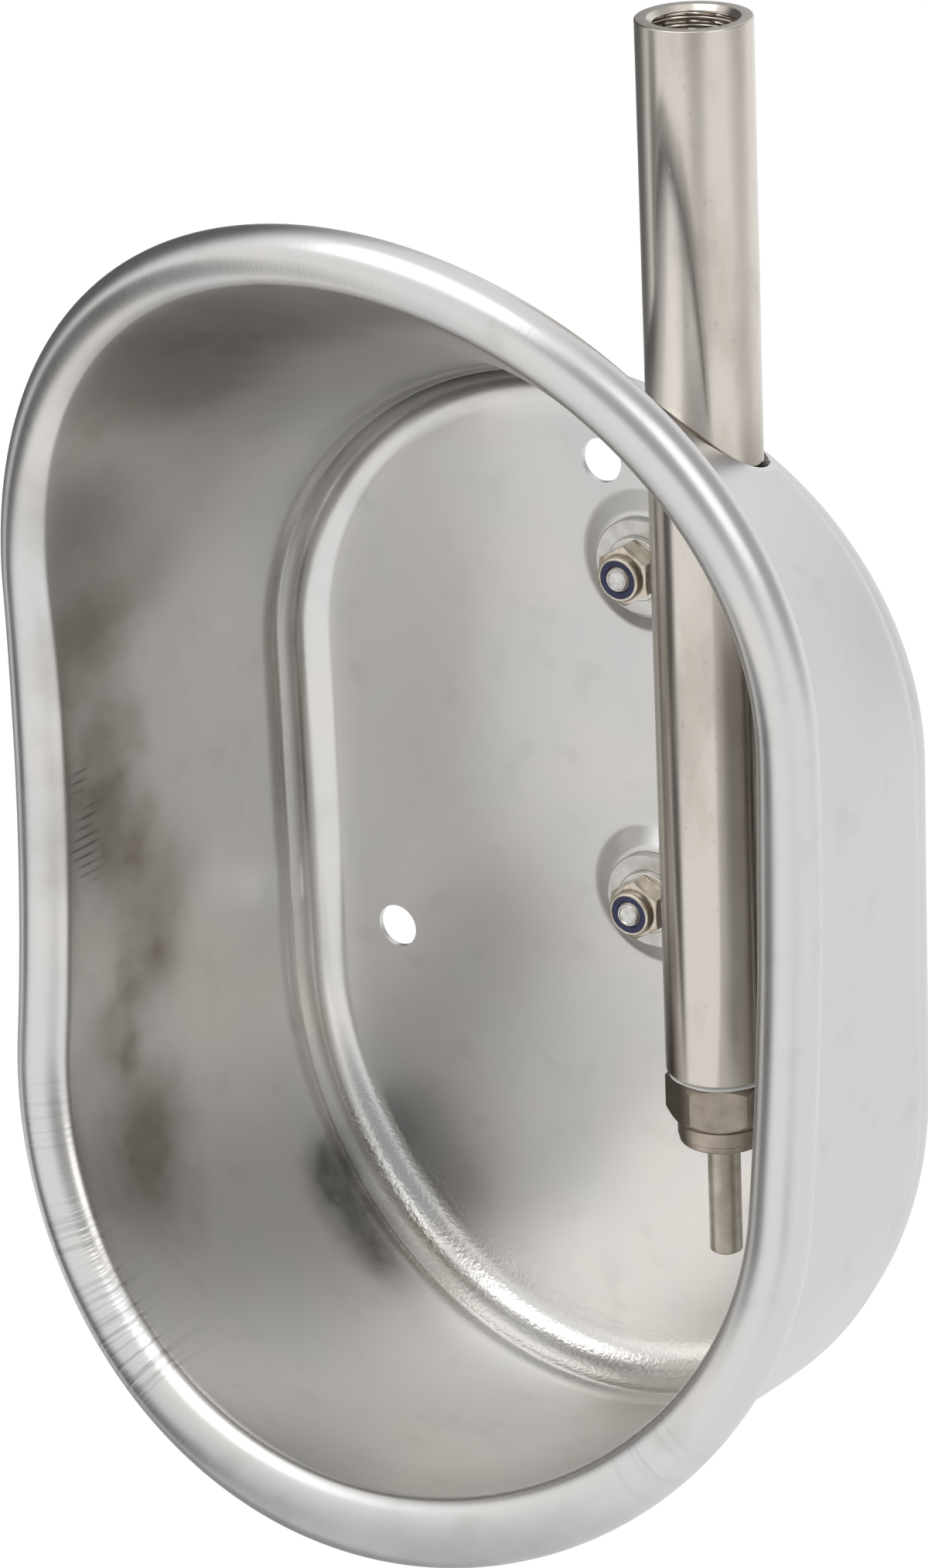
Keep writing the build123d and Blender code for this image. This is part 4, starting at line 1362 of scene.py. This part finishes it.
def assemble():
    lug_steel = plated_steel("lug steel", (0.66, 0.645, 0.62), (0.56, 0.54, 0.51), 4 * MM, 0.30)
    bolt_steel = plated_steel("bolt steel", (0.72, 0.705, 0.68), (0.58, 0.565, 0.54), 1.5 * MM, 0.26)
    washer_steel = plated_steel("washer steel", (0.68, 0.665, 0.64), (0.57, 0.55, 0.52), 3 * MM, 0.26)
    nut_steel = plated_steel("nut steel", (0.64, 0.585, 0.50), (0.50, 0.44, 0.36), 2 * MM, 0.20)
    pin_steel = turned_steel("pin steel", (0.55, 0.515, 0.445), (0.44, 0.40, 0.34), 5 * MM, 0.30, 0.35 * MM)
    spring_steel = turned_steel("spring wire", (0.6, 0.6, 0.6), (0.5, 0.5, 0.5), 2 * MM, 0.25, 0.5 * MM)
    nylon = moulded("dark blue nylon", (0.018, 0.022, 0.085), (0.03, 0.034, 0.10), 0.38, 2 * MM)
    rubber = moulded("black seal rubber", (0.02, 0.02, 0.02), (0.035, 0.034, 0.033), 0.6, 2 * MM)
    acetal = moulded("white acetal", (0.80, 0.80, 0.78), (0.74, 0.735, 0.71), 0.4, 4 * MM)

    dress(make_bowl(bowl_steel()), "bowl", "bowl_steel", "bowl_shell")
    dress(make_tube(tube_steel()), "bowl", "tube_steel", "water_tube")
    dress(make_lugs(lug_steel), "bowl", "lug_steel", *both("lug"))
    dress(make_welds(weld_steel()), "bowl", "lug_steel")
    dress(make_bolts(bolt_steel), "bowl", "bolt_steel", *both("bolt"))
    dress(make_washers(washer_steel), "bowl", "washer_steel", *both("washer"))
    dress(make_nuts(nut_steel), "bowl", "nut_steel", *both("nut"))
    dress(make_lock_rings(nylon), "bowl", "blue_nylon", *both("lock_ring"))
    dress(make_nipple(blasted_steel()), "bowl", "nipple_steel", "nipple_body")
    dress(make_tape(tape_white()), "bowl", "thread_tape", "seal_tape")
    dress(make_pin(pin_steel), "pin", "pin_steel", "valve_pin")
    for name, material in (
        ("seat_ring", rubber),
        ("spring_cap", acetal),
        ("valve_spring", spring_steel),
        ("spring_retainer", acetal),
        ("flow_jet", acetal),
        ("inlet_strainer", acetal),
    ):
        dress_solid(name, material)


# ---- studio ----

FLOOR_Z = -0.40
FLOOR_SPAN = 12.0
FLOOR_LIFT = 0.47
FLOOR_PAINT = (0.82, 0.82, 0.82)
ROOM_LIGHT = 0.62
CAMERA_AZIMUTH = 33.819
CAMERA_ELEVATION = 22.919
CAMERA_ROLL = -2.372
CAMERA_DISTANCE = 1.3763
CAMERA_TARGET = (-0.00332, -0.04, 0.05133)
FOCAL_PIXELS = 7497.6
FRAME_PIXELS = (1200, 2028)
MIDDLE_PIXEL = (665.13, 1080.77)
SENSOR = 36.0


def heading(azimuth, elevation):
    """Unit vector; azimuth 0 is the front of the bowl and grows to its right."""
    across, up = radians(azimuth), radians(elevation)
    return Vector((sin(across) * cos(up), -cos(across) * cos(up), sin(up)))


def set_camera():
    back = heading(CAMERA_AZIMUTH, CAMERA_ELEVATION)
    side = heading(CAMERA_AZIMUTH + 90, 0)
    up = back.cross(side)
    roll = radians(CAMERA_ROLL)
    right = side * cos(roll) + up * sin(roll)
    top = up * cos(roll) - side * sin(roll)
    camera = bpy.data.cameras.new("camera")
    camera.lens = FOCAL_PIXELS / FRAME_PIXELS[1] * SENSOR
    camera.shift_x = (FRAME_PIXELS[0] / 2 - MIDDLE_PIXEL[0]) / FRAME_PIXELS[1]
    camera.shift_y = (MIDDLE_PIXEL[1] - FRAME_PIXELS[1] / 2) / FRAME_PIXELS[1]
    camera.clip_start = 0.1
    camera.clip_end = 30
    holder = new_object("camera", camera)
    turn = Matrix((right, top, back)).transposed().to_4x4()
    holder.matrix_world = Matrix.Translation(Vector(CAMERA_TARGET) + back * CAMERA_DISTANCE) @ turn
    bpy.context.scene.camera = holder


# Dim zones that polished steel mirrors: azimuth, elevation, outer and inner half angle
# in degrees, and how much of the brightness each takes away
DIM_ZONES = (
    (-112, 12, 50, 20, 0.88),
    (-58, -20, 20, 8, 0.92),
    (-85, -58, 30, 12, 0.50),
    (32, 15, 33, 9, 0.58),
    (122, 24, 45, 18, 0.50),
)
MIRRORED_WHITE = 0.97


def surroundings(across, depth, up):
    """Brightness of the white room, seen in polished steel, along a direction of any length."""
    length = (across ** 2.0 + depth ** 2.0 + up ** 2.0) ** 0.5
    level = across * 0.0 + MIRRORED_WHITE
    for azimuth, elevation, wide, narrow, depth_of_dim in DIM_ZONES:
        aim = heading(azimuth, elevation)
        facing = (across * aim.x + depth * aim.y + up * aim.z) / length
        level = level * (1.0 - facing.ramp(cos(radians(wide)), cos(radians(narrow))) * depth_of_dim)
    return level


def set_world():
    """White room: plain for the camera and for soft light, with its dim zones for mirrored rays."""
    world = bpy.data.worlds.new("studio")
    bpy.context.scene.world = world
    world.use_nodes = True
    tree = world.node_tree
    rays = node(tree, "ShaderNodeLightPath")
    seen = Field(tree, rays.outputs["Is Camera Ray"])
    mirrored = Field(tree, rays.outputs["Is Glossy Ray"])
    sight = tree.nodes.new("ShaderNodeTexCoord").outputs["Generated"]
    way = node(tree, "ShaderNodeSeparateXYZ", {"Vector": sight})
    room = surroundings(*(Field(tree, way.outputs[k]) for k in range(3)))
    other = ROOM_LIGHT + mirrored * (room - ROOM_LIGHT)
    plug(tree, other + seen * (1.0 - other), tree.nodes["Background"].inputs[1])
    tree.nodes["Background"].inputs[0].default_value = (1, 1, 1, 1)
    bpy.context.scene.view_settings.view_transform = "Standard"


def make_floor():
    """Pale floor with the object's shadow, which mirrored rays see as part of the white room."""
    half = FLOOR_SPAN / 2
    bm = bmesh.new()
    corners = ((-half, -half), (half, -half), (half, half), (-half, half))
    bm.faces.new([bm.verts.new((x, y, FLOOR_Z)) for x, y in corners])
    mesh = bpy.data.meshes.new("floor")
    bm.to_mesh(mesh)
    bm.free()
    paint = Finish("pale floor", FLOOR_PAINT, metallic=0.0, roughness=0.9)
    tree = paint.tree
    rays = node(tree, "ShaderNodeLightPath")
    seen = Field(tree, rays.outputs["Is Camera Ray"])
    mirrored = Field(tree, rays.outputs["Is Glossy Ray"])
    room = surroundings(paint.x, paint.y - CAMERA_TARGET[1], paint.z - CAMERA_TARGET[2])
    paint.set("Base Color", paint.blend(mirrored, FLOOR_PAINT, (0.0, 0.0, 0.0)))
    paint.shader.inputs["Emission Color"].default_value = (1, 1, 1, 1)
    paint.set("Emission Strength", seen * FLOOR_LIFT + mirrored * room)
    mesh.materials.append(paint.material)
    new_object("floor", mesh)


def soft_box(name, azimuth, elevation, distance, size, power):
    """Square area lamp that faces the middle of the bowl."""
    lamp = bpy.data.lights.new(name, "AREA")
    lamp.size = size
    lamp.energy = power
    holder = new_object(name, lamp)
    away = heading(azimuth, elevation)
    holder.location = Vector(CAMERA_TARGET) + away * distance
    holder.rotation_euler = away.to_track_quat("Z", "Y").to_euler()


assemble()
set_camera()
set_world()
make_floor()
soft_box("key soft box", azimuth=-13, elevation=58, distance=1.9, size=1.6, power=8)
soft_box("fill soft box", azimuth=75, elevation=30, distance=2.2, size=1.4, power=5)
